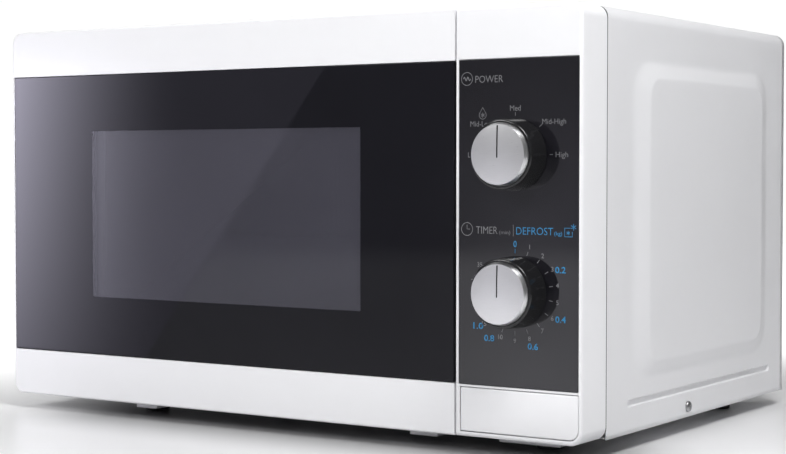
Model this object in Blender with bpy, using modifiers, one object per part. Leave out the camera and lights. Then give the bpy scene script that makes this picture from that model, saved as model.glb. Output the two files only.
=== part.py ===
"""A countertop microwave oven with two rotary controls, built as an assembly of separate pieces.

The frame is in metres. +X is the oven's right seen from the front, +Y points to its back and +Z up.
The origin is at the centre of the footprint of the whole oven, on the surface that the feet stand on.
Run it with: blender --background --python part.py
"""

import math

import bmesh
import bpy
from mathutils import Euler, Matrix, Vector

# ---------------------------------------------------------------- driving dimensions
WIDTH = 0.440  # across the front
HEIGHT = 0.258  # from the floor to the top
FOOT_HEIGHT = 0.010
BODY_DEPTH = 0.306  # from the front face to the rear panel
FRONT_DEPTH = 0.030  # thickness of the door and of the control panel
KNOB_REACH = 0.021  # how far the knobs stand out of the front face
REAR_PIP = 0.003  # spacers on the rear panel
SHEET = 0.001  # steel sheet
WALL = 0.0025  # plastic wall
GAP = 0.0003  # between pieces that touch
CORNER = 0.008  # rounding of the front's corners

# ---------------------------------------------------------------- places worked out from them
FRONT_Y = -(BODY_DEPTH + REAR_PIP - KNOB_REACH) / 2
KNOB_Y = FRONT_Y - KNOB_REACH
SEAM_Y = FRONT_Y + FRONT_DEPTH
REAR_Y = FRONT_Y + BODY_DEPTH
HALF = WIDTH / 2
SIDE_X = HALF - 0.0005  # outside of the cover's flat sides
BOTTOM = FOOT_HEIGHT
TOP = HEIGHT
INSIDE_X = SIDE_X - SHEET - 2 * GAP  # the base and the rear panel end here

# Cavity, inside faces
CAVITY_WIDTH = 0.306
CAVITY_HEIGHT = 0.208
CAVITY_X = (-0.1905, -0.1905 + CAVITY_WIDTH)
CAVITY_Z = (0.030, 0.030 + CAVITY_HEIGHT)
PLATE_Y = SEAM_Y + 2 * GAP  # front of the cavity's front plate
CAVITY_FRONT = PLATE_Y + SHEET + GAP
CAVITY_BACK = REAR_Y - 0.012
TABLE_X = sum(CAVITY_X) / 2
TABLE_Y = (CAVITY_FRONT + CAVITY_BACK) / 2

# Door
SEAM_X = 0.1378  # middle of the slit between the door and the control panel
SEAM_HALF = 0.0007
DOOR_RIGHT = SEAM_X - SEAM_HALF
DOOR_BACK = SEAM_Y - 0.0005
GLASS_Z = (0.0405, 0.2275)
GLASS_THICK = 0.0032
DOOR_SKIN = 0.0075  # front of the door, down to the floor of its hollow
PIVOT = Vector((-HALF + 0.014, DOOR_BACK - 0.017, 0.0))
STILE_X = -HALF + 0.020  # the hinge stile is solid up to here

# Latch
HOOK_X = (0.124, 0.128)
HOOK_Z = (0.052, 0.196)  # underside of the lower and of the upper hook
HOOK_HEIGHT = 0.010
HOOK_NOSE = 0.003
HOOK_TIP_Y = SEAM_Y + 0.017
LEVER_Y = SEAM_Y + 0.006
LEVER_Z = 0.0435

# Controls
PANEL_LEFT = SEAM_X + SEAM_HALF
FASCIA_X = (0.1400, 0.2180)
FASCIA_Z = (0.0403, 0.2279)
FASCIA_THICK = 0.0012
BUTTON_X = (0.1414, 0.2178)
BUTTON_Z = (0.0133, 0.0386)
KNOB_X = 0.1774
POWER_Z = 0.1730
TIMER_Z = 0.0950
KNOB_RADIUS = 0.0195
CAP_RADIUS = 0.0175
SHAFT_RADIUS = 0.003

# Turntable
TRAY_RADIUS = 0.1225
ROLLER_RADIUS = 0.007
RING_RADIUS = 0.088
FLOOR_Z = CAVITY_Z[0] + GAP
ROLLER_Z = FLOOR_Z + ROLLER_RADIUS
TRAY_Z = ROLLER_Z + ROLLER_RADIUS + GAP

# Electrical compartment, right of the cavity
BAY_X = (CAVITY_X[1] + SHEET + GAP, INSIDE_X)
FAN_X, FAN_Z = 0.168, 0.178
FAN_RADIUS = 0.036

AXIS_TURN = {
    "X": Euler((math.pi / 2, 0, math.pi / 2)),
    "Y": Euler((math.pi / 2, 0, 0)),
    "Z": Euler((0, 0, 0)),
}


# ---------------------------------------------------------------- scene and materials
def clear_scene():
    """Removes every object, so that the script starts from nothing."""
    for obj in list(bpy.data.objects):
        bpy.data.objects.remove(obj)


def new_collection(name):
    made = bpy.data.collections.new(name)
    bpy.context.scene.collection.children.link(made)
    return made


def material(name, colour, roughness, metallic=0.0, alpha=1.0):
    """A Principled BSDF with the piece's colour, roughness and metallic value."""
    made = bpy.data.materials.new(name)
    made.use_nodes = True
    shader = made.node_tree.nodes["Principled BSDF"]
    shader.inputs["Base Color"].default_value = (*colour, 1.0)
    shader.inputs["Roughness"].default_value = roughness
    shader.inputs["Metallic"].default_value = metallic
    shader.inputs["Alpha"].default_value = alpha
    return made


clear_scene()
OVEN = new_collection("microwave_oven")
CUTTERS = new_collection("cutters")
WHITE_PLASTIC = material("white_plastic", (0.86, 0.86, 0.87), 0.35)
BLACK_PLASTIC = material("black_plastic", (0.02, 0.02, 0.022), 0.3)
GREY_PLASTIC = material("grey_plastic", (0.25, 0.25, 0.26), 0.5)
WHITE_PAINT = material("white_painted_steel", (0.84, 0.84, 0.85), 0.4)
CAVITY_PAINT = material("cavity_paint", (0.72, 0.73, 0.74), 0.45)
GALVANISED = material("galvanised_steel", (0.6, 0.61, 0.62), 0.4, 1.0)
BRUSHED = material("brushed_cap", (0.78, 0.78, 0.79), 0.3, 1.0)
BLACK_GLASS = material("black_glass", (0.015, 0.015, 0.018), 0.05, 0.0, 0.9)
CLEAR_GLASS = material("clear_glass", (0.9, 0.95, 0.93), 0.03, 0.0, 0.35)
RUBBER = material("rubber", (0.05, 0.05, 0.05), 0.8)
COPPER = material("winding_copper", (0.6, 0.25, 0.12), 0.4, 1.0)
ALUMINIUM = material("aluminium", (0.75, 0.75, 0.76), 0.35, 1.0)
MICA = material("mica", (0.55, 0.5, 0.42), 0.6)
CIRCUIT_BOARD = material("circuit_board", (0.45, 0.32, 0.12), 0.6)


# ---------------------------------------------------------------- shapes
def new_object(name, mesh, paint):
    """Links a mesh to the oven, or to the cutters where it has no material."""
    obj = bpy.data.objects.new(name, mesh)
    (OVEN if paint else CUTTERS).objects.link(obj)
    if paint:
        mesh.materials.append(paint)
    else:
        hide(obj)
    return obj


def hide(obj):
    obj.hide_render = True
    obj.display_type = "WIRE"


def smooth(mesh):
    """Shades a round piece smooth, except across its edges."""
    mesh.shade_smooth()
    mesh.set_sharp_from_angle(angle=math.radians(30))


def box(name, low, high, paint=None):
    """A box between two corners, its origin at its centre."""
    low, high = Vector(low), Vector(high)
    shape = bmesh.new()
    bmesh.ops.create_cube(shape, size=1.0)
    bmesh.ops.scale(shape, vec=high - low, verts=shape.verts)
    mesh = bpy.data.meshes.new(name)
    shape.to_mesh(mesh)
    shape.free()
    obj = new_object(name, mesh, paint)
    obj.location = (low + high) / 2
    return obj


def round_bar(name, radius, start, end, paint=None, sides=24, end_radius=None):
    """A cylinder or cone between two points, its origin at its middle."""
    start, end = Vector(start), Vector(end)
    along = end - start
    shape = bmesh.new()
    bmesh.ops.create_cone(
        shape,
        cap_ends=True,
        segments=sides,
        radius1=radius,
        radius2=radius if end_radius is None else end_radius,
        depth=along.length,
    )
    mesh = bpy.data.meshes.new(name)
    shape.to_mesh(mesh)
    shape.free()
    smooth(mesh)
    obj = new_object(name, mesh, paint)
    obj.rotation_euler = along.to_track_quat("Z", "Y").to_euler()
    obj.location = (start + end) / 2
    return obj


def turned(name, profile, centre, axis="Z", paint=None, steps=32, closed=False):
    """A turned shape. Its (radius, height) points run down the outside; closed, they go round a ring's section."""
    mesh = bpy.data.meshes.new(name)
    edges = [(i, i + 1) for i in range(len(profile) - 1)]
    if closed:
        edges.append((len(profile) - 1, 0))
    mesh.from_pydata([(radius, 0.0, height) for radius, height in profile], edges, [])
    obj = new_object(name, mesh, paint)
    screw = obj.modifiers.new("turn", "SCREW")
    screw.steps = screw.render_steps = steps
    screw.use_merge_vertices = True
    screw.merge_threshold = 0.00002
    obj.location = centre
    obj.rotation_euler = AXIS_TURN[axis]
    return obj


def arc(centre, radius, start, end, steps=4):
    """Points on an arc in degrees, both ends included."""
    angles = [math.radians(start + (end - start) * i / steps) for i in range(steps + 1)]
    return [(centre[0] + radius * math.cos(a), centre[1] + radius * math.sin(a)) for a in angles]


def rounded_rectangle(low, high, radii, steps=4):
    """An outline with its own radius at the right bottom, right top, left top and left bottom corner."""
    corners = (
        (high[0], low[1], 1, -1),
        (high[0], high[1], 1, 1),
        (low[0], high[1], -1, 1),
        (low[0], low[1], -1, -1),
    )
    points = []
    for i, ((x, y, right, up), radius) in enumerate(zip(corners, radii)):
        if radius <= 0:
            points.append((x, y))
            continue
        centre = (x - right * radius, y - up * radius)
        points += arc(centre, radius, 90 * i - 90, 90 * i, steps)
    return points


def sheet_of(name, outline, axis, start, end, paint=None):
    """A flat outline, in YZ, XZ or XY coordinates, carried along the axis X, Y or Z."""
    curve = bpy.data.curves.new(name, "CURVE")
    curve.dimensions = "2D"
    curve.fill_mode = "BOTH"
    curve.extrude = abs(end - start) / 2
    line = curve.splines.new("POLY")
    line.points.add(len(outline) - 1)
    for point, (x, y) in zip(line.points, outline):
        point.co = (x, y, 0.0, 1.0)
    line.use_cyclic_u = True
    flat = bpy.data.objects.new(name + "_outline", curve)
    bpy.context.scene.collection.objects.link(flat)
    bpy.context.view_layer.update()
    graph = bpy.context.evaluated_depsgraph_get()
    mesh = bpy.data.meshes.new_from_object(flat.evaluated_get(graph))
    bpy.data.objects.remove(flat)
    shape = bmesh.new()
    shape.from_mesh(mesh)
    bmesh.ops.remove_doubles(shape, verts=shape.verts, dist=0.000005)
    bmesh.ops.recalc_face_normals(shape, faces=shape.faces)
    shape.to_mesh(mesh)
    shape.free()
    mesh.name = name
    smooth(mesh)
    obj = new_object(name, mesh, paint)
    obj.rotation_euler = AXIS_TURN[axis]
    middle = (start + end) / 2
    obj.location = {"X": (middle, 0, 0), "Y": (0, middle, 0), "Z": (0, 0, middle)}[axis]
    return obj


def boolean(target, other, operation):
    modifier = target.modifiers.new(operation.lower(), "BOOLEAN")
    modifier.operation = operation
    modifier.solver = "EXACT"
    modifier.object = other


def cut(target, *cutters):
    """Takes each cutter's shape out of the target."""
    for cutter in cutters:
        boolean(target, cutter, "DIFFERENCE")
    return target


def join(target, *others):
    """Makes the others one body with the target."""
    for other in others:
        boolean(target, other, "UNION")
    return target


def pivot_at(name, place):
    """An empty on a joint's axis, which its moving pieces are parented to."""
    empty = bpy.data.objects.new(name, None)
    OVEN.objects.link(empty)
    empty.location = place
    return empty


def carry(empty, *pieces):
    """Parents the pieces to the empty without moving them."""
    bpy.context.view_layer.update()
    for piece in pieces:
        piece.parent = empty
        piece.matrix_parent_inverse = empty.matrix_world.inverted()


# ---------------------------------------------------------------- cabinet
EMBOSS_Y = (FRONT_Y + 0.063, FRONT_Y + 0.275)
EMBOSS_Z = (0.040, 0.229)
EMBOSS_RISE = 0.0035
EMBOSS_SLOPE = 0.012
GROOVE_Y = (FRONT_Y + 0.059, FRONT_Y + 0.2815)
GROOVE_Z = (0.0254, 0.0302)
GROOVE_DEPTH = 0.002
SCREW_Y, SCREW_Z = FRONT_Y + 0.145, 0.0165


def tapered_panel(name, side, base_x, rise, shrink=0.0):
    """A rounded panel that stands out of a side, its edges sloping in by EMBOSS_SLOPE."""
    low = (EMBOSS_Y[0] + shrink, EMBOSS_Z[0] + shrink)
    high = (EMBOSS_Y[1] - shrink, EMBOSS_Z[1] - shrink)
    outline = rounded_rectangle(low, high, (0.022 - shrink,) * 4, 4)
    panel = sheet_of(name, outline, "X", base_x, base_x + side * rise)
    middle = ((low[0] + high[0]) / 2, (low[1] + high[1]) / 2)
    shares = [1 - 2 * EMBOSS_SLOPE / (high[k] - low[k]) for k in range(2)]
    for vertex in panel.data.vertices:
        if vertex.co.z * side > 0:
            for k in range(2):
                vertex.co[k] = middle[k] + (vertex.co[k] - middle[k]) * shares[k]
    return panel


def outer_cover():
    """The painted steel wrap: the top and both sides, each with a raised panel and a groove."""
    inner = CORNER - SHEET
    outline = [(SIDE_X, BOTTOM), *arc((SIDE_X - CORNER, TOP - CORNER), CORNER, 0, 90, 5)]
    outline += [*arc((-SIDE_X + CORNER, TOP - CORNER), CORNER, 90, 180, 5), (-SIDE_X, BOTTOM)]
    outline += [(-SIDE_X + SHEET, BOTTOM), *arc((-SIDE_X + CORNER, TOP - CORNER), inner, 180, 90, 5)]
    outline += [*arc((SIDE_X - CORNER, TOP - CORNER), inner, 90, 0, 5), (SIDE_X - SHEET, BOTTOM)]
    cover = sheet_of("outer_cover", outline, "Y", SEAM_Y + 3 * GAP, REAR_Y, WHITE_PAINT)
    radius = (GROOVE_Z[1] - GROOVE_Z[0]) / 2
    for side in (-1, 1):
        tag = "right" if side > 0 else "left"
        skin = side * (SIDE_X - SHEET / 2)
        raised = tapered_panel(f"emboss_{tag}", side, skin, EMBOSS_RISE + SHEET / 2)
        hollow = tapered_panel(
            f"emboss_inside_{tag}", side, skin - side * SHEET, EMBOSS_RISE + SHEET / 2, 0.0004
        )
        around = rounded_rectangle(
            (
                GROOVE_Y[0] - SHEET, GROOVE_Z[0] - SHEET
            ), (GROOVE_Y[1] + SHEET, GROOVE_Z[1] + SHEET), (radius + SHEET,) * 4, 3
        )
        ridge = sheet_of(
            f"groove_back_{tag}", around, "X", skin, skin - side * (GROOVE_DEPTH + SHEET / 2)
        )
        line = rounded_rectangle((GROOVE_Y[0], GROOVE_Z[0]), (GROOVE_Y[1], GROOVE_Z[1]), (radius,) * 4, 3)
        top_of_groove = side * (SIDE_X - GROOVE_DEPTH)
        groove = sheet_of(f"groove_{tag}", line, "X", top_of_groove, side * (SIDE_X + SHEET))
        screw_hole = round_bar(
            f"screw_hole_{tag}", 0.0022, (side * (SIDE_X - 0.004), SCREW_Y, SCREW_Z), (
                side * (SIDE_X + 0.004), SCREW_Y, SCREW_Z
            ), sides=12
        )
        join(cover, raised, ridge)
        cut(cover, hollow, groove, screw_hole)
    return cover


def side_screw(side):
    """A self-tapping screw that holds the cover to the base plate's flange."""
    tag = "right" if side > 0 else "left"
    head = round_bar(
        f"side_screw_{tag}", 0.0034, (side * (SIDE_X + GAP), SCREW_Y, SCREW_Z), (
            side * (SIDE_X + 0.0022), SCREW_Y, SCREW_Z
        ), GALVANISED, 16, 0.0022
    )
    shank = round_bar(
        f"screw_shank_{tag}", 0.0017, (side * (SIDE_X - 0.007), SCREW_Y, SCREW_Z), (
            side * (SIDE_X + 0.001), SCREW_Y, SCREW_Z
        ), sides=10
    )
    return join(head, shank)


FOOT_PLACES = {
    "front_left": (-0.130, FRONT_Y + 0.0465),
    "front_right": (0.176, FRONT_Y + 0.0465),
    "rear_left": (-0.190, FRONT_Y + 0.262),
    "rear_right": (0.190, FRONT_Y + 0.262),
}
FOOT_RADIUS = 0.015
BASE_Z = (BOTTOM + 0.0005, BOTTOM + 0.0005 + SHEET)
BASE_FLANGE = 0.0115
# low and high x of each pressed boss in the base plate, behind the front edge
BOSSES_X = ((-0.172, -0.150), (0.070, 0.102), (0.126, 0.156))
BOSS_Y = (FRONT_Y + 0.034, FRONT_Y + 0.062)
BOSS_DROP = 0.0055


def base_plate():
    """The steel base: a sheet with side flanges, pressed bosses near the front and vents at the back."""
    front = CAVITY_FRONT + GAP
    back = REAR_Y - SHEET - 2 * GAP
    plate = box("base_plate", (-INSIDE_X, front, BASE_Z[0]), (INSIDE_X, back, BASE_Z[1]), GALVANISED)
    for side in (-1, 1):
        edge = side * INSIDE_X
        inner = side * (INSIDE_X - SHEET)
        flange = box(
            f"base_flange_{side}",
            (min(edge, inner), front + 0.004, BASE_Z[0] + SHEET / 2),
            (max(edge, inner), back, BASE_Z[1] + BASE_FLANGE),
        )
        join(plate, flange)
        hole = round_bar(
            f"flange_hole_{side}",
            0.0022,
            (side * 0.205, SCREW_Y, SCREW_Z),
            (side * 0.225, SCREW_Y, SCREW_Z),
            sides=12,
        )
        cut(plate, hole)
    for i, (low, high) in enumerate(BOSSES_X):
        drop = box(
            f"boss_{i}", (low, BOSS_Y[0], BASE_Z[0] - BOSS_DROP), (high, BOSS_Y[1], BASE_Z[1] - SHEET / 2)
        )
        inside = box(
            f"boss_inside_{i}",
            (low + SHEET, BOSS_Y[0] + SHEET, BASE_Z[0] - BOSS_DROP + SHEET),
            (high - SHEET, BOSS_Y[1] - SHEET, BASE_Z[1] + SHEET),
        )
        join(plate, drop)
        cut(plate, inside)
    for i in range(6):
        y = 0.055 + 0.012 * i
        cut(plate, box(f"base_vent_{i}", (0.128, y, 0.0), (0.170, y + 0.004, 0.02)))
    return plate


def foot(place, centre):
    """A tapered rubber foot."""
    x, y = centre
    return round_bar(
        f"foot_{place}",
        FOOT_RADIUS - 0.003,
        (x, y, 0.0),
        (x, y, BASE_Z[0] - GAP),
        RUBBER,
        20,
        FOOT_RADIUS,
    )


GLAND_X, GLAND_Z = 0.196, 0.040


def rear_panel():
    """The steel back with the fan's inlet slots, the exhaust slots, the cord's hole and four spacers."""
    top = TOP - SHEET - 2 * GAP
    outline = rounded_rectangle(
        (-INSIDE_X, BASE_Z[0]), (INSIDE_X, top), (0.001, CORNER, CORNER, 0.001), 4
    )
    panel = sheet_of("rear_panel", outline, "Y", REAR_Y - SHEET, REAR_Y, GALVANISED)
    for side in (-1, 1):
        for z in (0.070, 0.215):
            centre = (side * 0.150, REAR_Y - SHEET / 2, z)
            join(
                panel,
                round_bar(
                    f"pip_{side}_{z}",
                    0.008,
                    centre,
                    (centre[0], REAR_Y + REAR_PIP, z),
                    sides=16,
                    end_radius=0.006,
                ),
            )
    for i in range(8):
        z = FAN_Z - 0.030 + 0.008 * i
        cut(
            panel,
            box(
                f"inlet_{i}",
                (FAN_X - 0.030 + 0.005, REAR_Y - 0.01, z),
                (FAN_X + 0.030, REAR_Y + 0.01, z + 0.004),
            ),
        )
        if i % 2 == 0:
            z = 0.120 + 0.008 * i
            cut(
                panel, box(f"exhaust_{i}", (-0.110, REAR_Y - 0.01, z), (-0.050, REAR_Y + 0.01, z + 0.004))
            )
    hole = round_bar(
        "gland_hole",
        0.0085,
        (GLAND_X, REAR_Y - 0.01, GLAND_Z),
        (GLAND_X, REAR_Y + 0.01, GLAND_Z),
        sides=20,
    )
    return cut(panel, hole)


def cord_gland():
    """The plastic gland in the rear panel that the mains cord would pass through."""
    rim = REAR_Y + GAP
    inner, back = -REAR_Y + 0.009, -rim - 0.002
    profile = [
        (0.0038, inner), (0.0080, inner), (0.0080, -rim), (0.0105, -rim), (0.0105, back), (0.0038, back)
    ]
    return turned("cord_gland", profile, (GLAND_X, 0.0, GLAND_Z), "Y", BLACK_PLASTIC, 20, closed=True)


# ---------------------------------------------------------------- cavity
WAVEGUIDE_Y = (-0.040, 0.050)
WAVEGUIDE_Z = (0.120, 0.180)
LAMP_Y, LAMP_Z = -0.060, 0.205


def oven_cavity():
    """The welded steel box, open at the front, with its shaft hole, wave port, lamp holes and steam slots."""
    low = (CAVITY_X[0] - SHEET, CAVITY_FRONT, CAVITY_Z[0] - SHEET)
    high = (CAVITY_X[1] + SHEET, CAVITY_BACK + SHEET, CAVITY_Z[1] + SHEET)
    cavity = box("oven_cavity", low, high, CAVITY_PAINT)
    inside = box(
        "cavity_inside",
        (CAVITY_X[0], CAVITY_FRONT - 0.01, CAVITY_Z[0]),
        (CAVITY_X[1], CAVITY_BACK, CAVITY_Z[1]),
    )
    shaft = round_bar("shaft_hole", 0.007, (TABLE_X, TABLE_Y, 0.02), (TABLE_X, TABLE_Y, 0.04), sides=20)
    port = box(
        "wave_port",
        (0.10, WAVEGUIDE_Y[0] + 0.012, WAVEGUIDE_Z[0] + 0.010),
        (0.13, WAVEGUIDE_Y[1] - 0.012, WAVEGUIDE_Z[1] - 0.010),
    )
    cut(cavity, inside, shaft, port)
    for row in range(2):
        for column in range(3):
            y = LAMP_Y + 0.008 * (column - 1)
            z = LAMP_Z + 0.008 * (row - 0.5)
            cut(
                cavity, round_bar(f"lamp_hole_{row}{column}", 0.0025, (0.10, y, z), (0.13, y, z), sides=8)
            )
    for i in range(5):
        y = 0.080 + 0.012 * i
        cut(cavity, box(f"steam_slot_{i}", (-0.20, y, 0.195), (-0.18, y + 0.004, 0.215)))
    return cavity


def slot_z(height):
    """The lowest and highest point of the front plate's slot for the hook at this height."""
    return height - HOOK_NOSE - 0.0005, height + HOOK_HEIGHT + 0.008


HINGE_Z = {"lower": (0.018, 0.020), "upper": (0.246, 0.248)}
HINGE_HALF = 0.004


def cavity_front_plate():
    """The flat steel face that the door closes against, with slots for the hooks and the hinge tabs."""
    outline = rounded_rectangle(
        (-INSIDE_X, BASE_Z[0]), (0.1355, TOP - SHEET - 2 * GAP), (0.001, 0.001, CORNER, 0.001), 3
    )
    plate = sheet_of("cavity_front_plate", outline, "Y", PLATE_Y, PLATE_Y + SHEET, WHITE_PAINT)
    mouth = rounded_rectangle((CAVITY_X[0], CAVITY_Z[0]), (CAVITY_X[1], CAVITY_Z[1]), (0.004,) * 4, 2)
    cut(plate, sheet_of("mouth", mouth, "Y", PLATE_Y - 0.01, PLATE_Y + 0.01))
    for i, height in enumerate(HOOK_Z):
        low, high = slot_z(height)
        cut(plate, box(f"hook_slot_{i}", (0.1215, PLATE_Y - 0.01, low), (0.131, PLATE_Y + 0.01, high)))
    for name, (low, high) in HINGE_Z.items():
        reach = HINGE_HALF + GAP
        slot = box(
            f"{name}_tab_slot",
            (PIVOT.x - reach, PLATE_Y - 0.01, low - GAP),
            (PIVOT.x + reach, PLATE_Y + 0.01, high + GAP),
        )
        cut(plate, slot)
    return plate


def hinge(name):
    """A steel bracket behind the front plate, with a tab that reaches into the door and a pin on it."""
    low, high = HINGE_Z[name]
    up = 1 if name == "lower" else -1
    back = CAVITY_FRONT
    base_z = (low - GAP, high + 0.018) if up > 0 else (low - 0.018, high + GAP)
    bracket = box(
        f"{name}_hinge",
        (PIVOT.x - 0.009, back, base_z[0]),
        (PIVOT.x + 0.009, back + 0.0015, base_z[1]),
        GALVANISED,
    )
    tab = box(
        f"{name}_tab", (PIVOT.x - HINGE_HALF, PIVOT.y, low), (PIVOT.x + HINGE_HALF, back + 0.001, high)
    )
    eye = round_bar(
        f"{name}_eye", HINGE_HALF + 0.001, (PIVOT.x, PIVOT.y, low), (PIVOT.x, PIVOT.y, high), sides=16
    )
    near, far = (high - 0.001, high + 0.009) if up > 0 else (low + 0.001, low - 0.009)
    pin = round_bar(f"{name}_pin", 0.0025, (PIVOT.x, PIVOT.y, near), (PIVOT.x, PIVOT.y, far), sides=16)
    return join(bracket, tab, eye, pin)


def waveguide():
    """The steel channel that carries the waves from the magnetron to the port in the cavity's wall."""
    low = (BAY_X[0], WAVEGUIDE_Y[0], WAVEGUIDE_Z[0])
    high = (BAY_X[0] + 0.018, WAVEGUIDE_Y[1], WAVEGUIDE_Z[1])
    channel = box("waveguide", low, high, GALVANISED)
    hollow = box(
        "waveguide_inside",
        (low[0] - 0.01, low[1] + SHEET, low[2] + SHEET),
        (high[0] - SHEET, high[1] - SHEET, high[2] - SHEET),
    )
    port = round_bar(
        "antenna_port",
        0.013,
        (high[0] - 0.005, MAGNETRON_Y, MAGNETRON_Z),
        (high[0] + 0.005, MAGNETRON_Y, MAGNETRON_Z),
        sides=20,
    )
    return cut(channel, hollow, port)


def waveguide_cover():
    """The mica sheet that covers the port inside the cavity."""
    x = CAVITY_X[1] - GAP
    outline = rounded_rectangle(
        (WAVEGUIDE_Y[0], WAVEGUIDE_Z[0] - 0.002),
        (WAVEGUIDE_Y[1], WAVEGUIDE_Z[1] + 0.002),
        (0.004,) * 4,
        2,
    )
    return sheet_of("waveguide_cover", outline, "X", x - 0.0006, x, MICA)


def lamp():
    """The oven lamp in its holder, outside the wall behind the lamp holes."""
    x = BAY_X[0]
    holder = box(
        "lamp_holder",
        (x, LAMP_Y - 0.016, LAMP_Z - 0.014),
        (x + 0.030, LAMP_Y + 0.016, LAMP_Z + 0.014),
        GALVANISED,
    )
    inside = box(
        "lamp_holder_inside",
        (x - 0.01, LAMP_Y - 0.015, LAMP_Z - 0.013),
        (x + 0.029, LAMP_Y + 0.015, LAMP_Z + 0.013),
    )
    neck = round_bar(
        "lamp_neck_hole", 0.0065, (x + 0.02, LAMP_Y, LAMP_Z), (x + 0.04, LAMP_Y, LAMP_Z), sides=16
    )
    cut(holder, inside, neck)
    profile = [
        (0.0, 0.0),
        (0.006, -0.001),
        (0.0105, -0.006),
        (0.0115, -0.011),
        (0.009, -0.018),
        (0.0058, -0.023),
        (0.0058, -0.040),
    ]
    bulb = turned(
        "lamp_bulb", [*profile, (0.0, -0.040)], (x + 0.001, LAMP_Y, LAMP_Z), "X", CLEAR_GLASS, 16
    )
    bulb.rotation_euler = Euler((0, -math.pi / 2, 0))
    return holder, bulb


# ---------------------------------------------------------------- turntable
def turntable():
    """The glass tray and its coupler, which the motor under the floor turns."""
    rim, base = 0.010, 0.004
    profile = [(0.0, base), (TRAY_RADIUS - 0.022, base), (TRAY_RADIUS - 0.004, rim), (TRAY_RADIUS, rim)]
    profile += [(TRAY_RADIUS, rim - 0.003), (TRAY_RADIUS - 0.018, 0.0), (0.0, 0.0)]
    tray = turned(
        "glass_tray",
        [(r, z) for r, z in profile],
        (TABLE_X, TABLE_Y, TRAY_Z),
        "Z",
        CLEAR_GLASS,
        48,
    )
    hub = round_bar(
        "turntable_coupler",
        0.014,
        (TABLE_X, TABLE_Y, FLOOR_Z + 0.0005),
        (TABLE_X, TABLE_Y, TRAY_Z - 0.005),
        GREY_PLASTIC,
        24,
        0.010,
    )
    for i in range(3):
        angle = 2 * math.pi * i / 3
        reach = Vector((math.cos(angle), math.sin(angle), 0)) * 0.016
        centre = Vector((TABLE_X, TABLE_Y, TRAY_Z - 0.0045))
        arm = box(f"coupler_arm_{i}", (-0.0, -0.004, -0.004), (0.018, 0.004, 0.004))
        arm.location = centre + reach * 0.5
        arm.rotation_euler = Euler((0, 0, angle))
        join(hub, arm)
    stem = round_bar(
        "coupler_stem", 0.004, (TABLE_X, TABLE_Y, 0.0285), (TABLE_X, TABLE_Y, 0.034), sides=16
    )
    join(hub, stem)
    return tray, hub


def roller_ring():
    """The ring that carries the three rollers between the floor and the tray, and the rollers."""
    outer, inner, half = RING_RADIUS + 0.003, RING_RADIUS - 0.003, 0.0025
    section = [(outer, half), (outer, -half), (inner, -half), (inner, half)]
    ring = turned(
        "roller_ring", section, (TABLE_X, TABLE_Y, ROLLER_Z), "Z", GREY_PLASTIC, 48, closed=True
    )
    rollers = []
    for i in range(3):
        angle = math.pi / 2 + 2 * math.pi * i / 3
        outward = Vector((math.cos(angle), math.sin(angle), 0))
        centre = Vector((TABLE_X, TABLE_Y, ROLLER_Z)) + outward * (RING_RADIUS + 0.0075)
        axle = round_bar(
            f"axle_{i}", 0.0015, centre - outward * 0.006, centre + outward * 0.0055, sides=10
        )
        join(ring, axle)
        roller = round_bar(
            f"roller_{i + 1}",
            ROLLER_RADIUS,
            centre - outward * 0.003,
            centre + outward * 0.003,
            GREY_PLASTIC,
            24,
        )
        hole = round_bar(
            f"roller_hole_{i}", 0.0019, centre - outward * 0.01, centre + outward * 0.01, sides=10
        )
        cut(roller, hole)
        rollers.append(roller)
    return ring, rollers


def turntable_motor():
    """The synchronous gear motor under the cavity's floor."""
    top = CAVITY_Z[0] - SHEET - 2 * GAP
    motor = round_bar(
        "turntable_motor",
        0.025,
        (TABLE_X, TABLE_Y, top - 0.0145),
        (TABLE_X, TABLE_Y, top),
        GALVANISED,
        24,
    )
    ears = box(
        "motor_ears",
        (TABLE_X - 0.032, TABLE_Y - 0.007, top - 0.001),
        (TABLE_X + 0.032, TABLE_Y + 0.007, top),
    )
    well = round_bar(
        "motor_well", 0.0045, (TABLE_X, TABLE_Y, 0.0265), (TABLE_X, TABLE_Y, 0.035), sides=16
    )
    return cut(join(motor, ears), well)


# ---------------------------------------------------------------- door
DOOR_WINDOW = ((-0.176, 0.058), (0.100, 0.211))  # opening behind the glass, x and z
SCREEN_WINDOW = ((-0.1505, 0.0745), (0.0755, 0.1945))  # low corner, high corner
CHOKE_RIGHT = 0.1185
CHOKE_Y = (FRONT_Y + DOOR_SKIN + GAP, DOOR_BACK - 0.0035)


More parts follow.
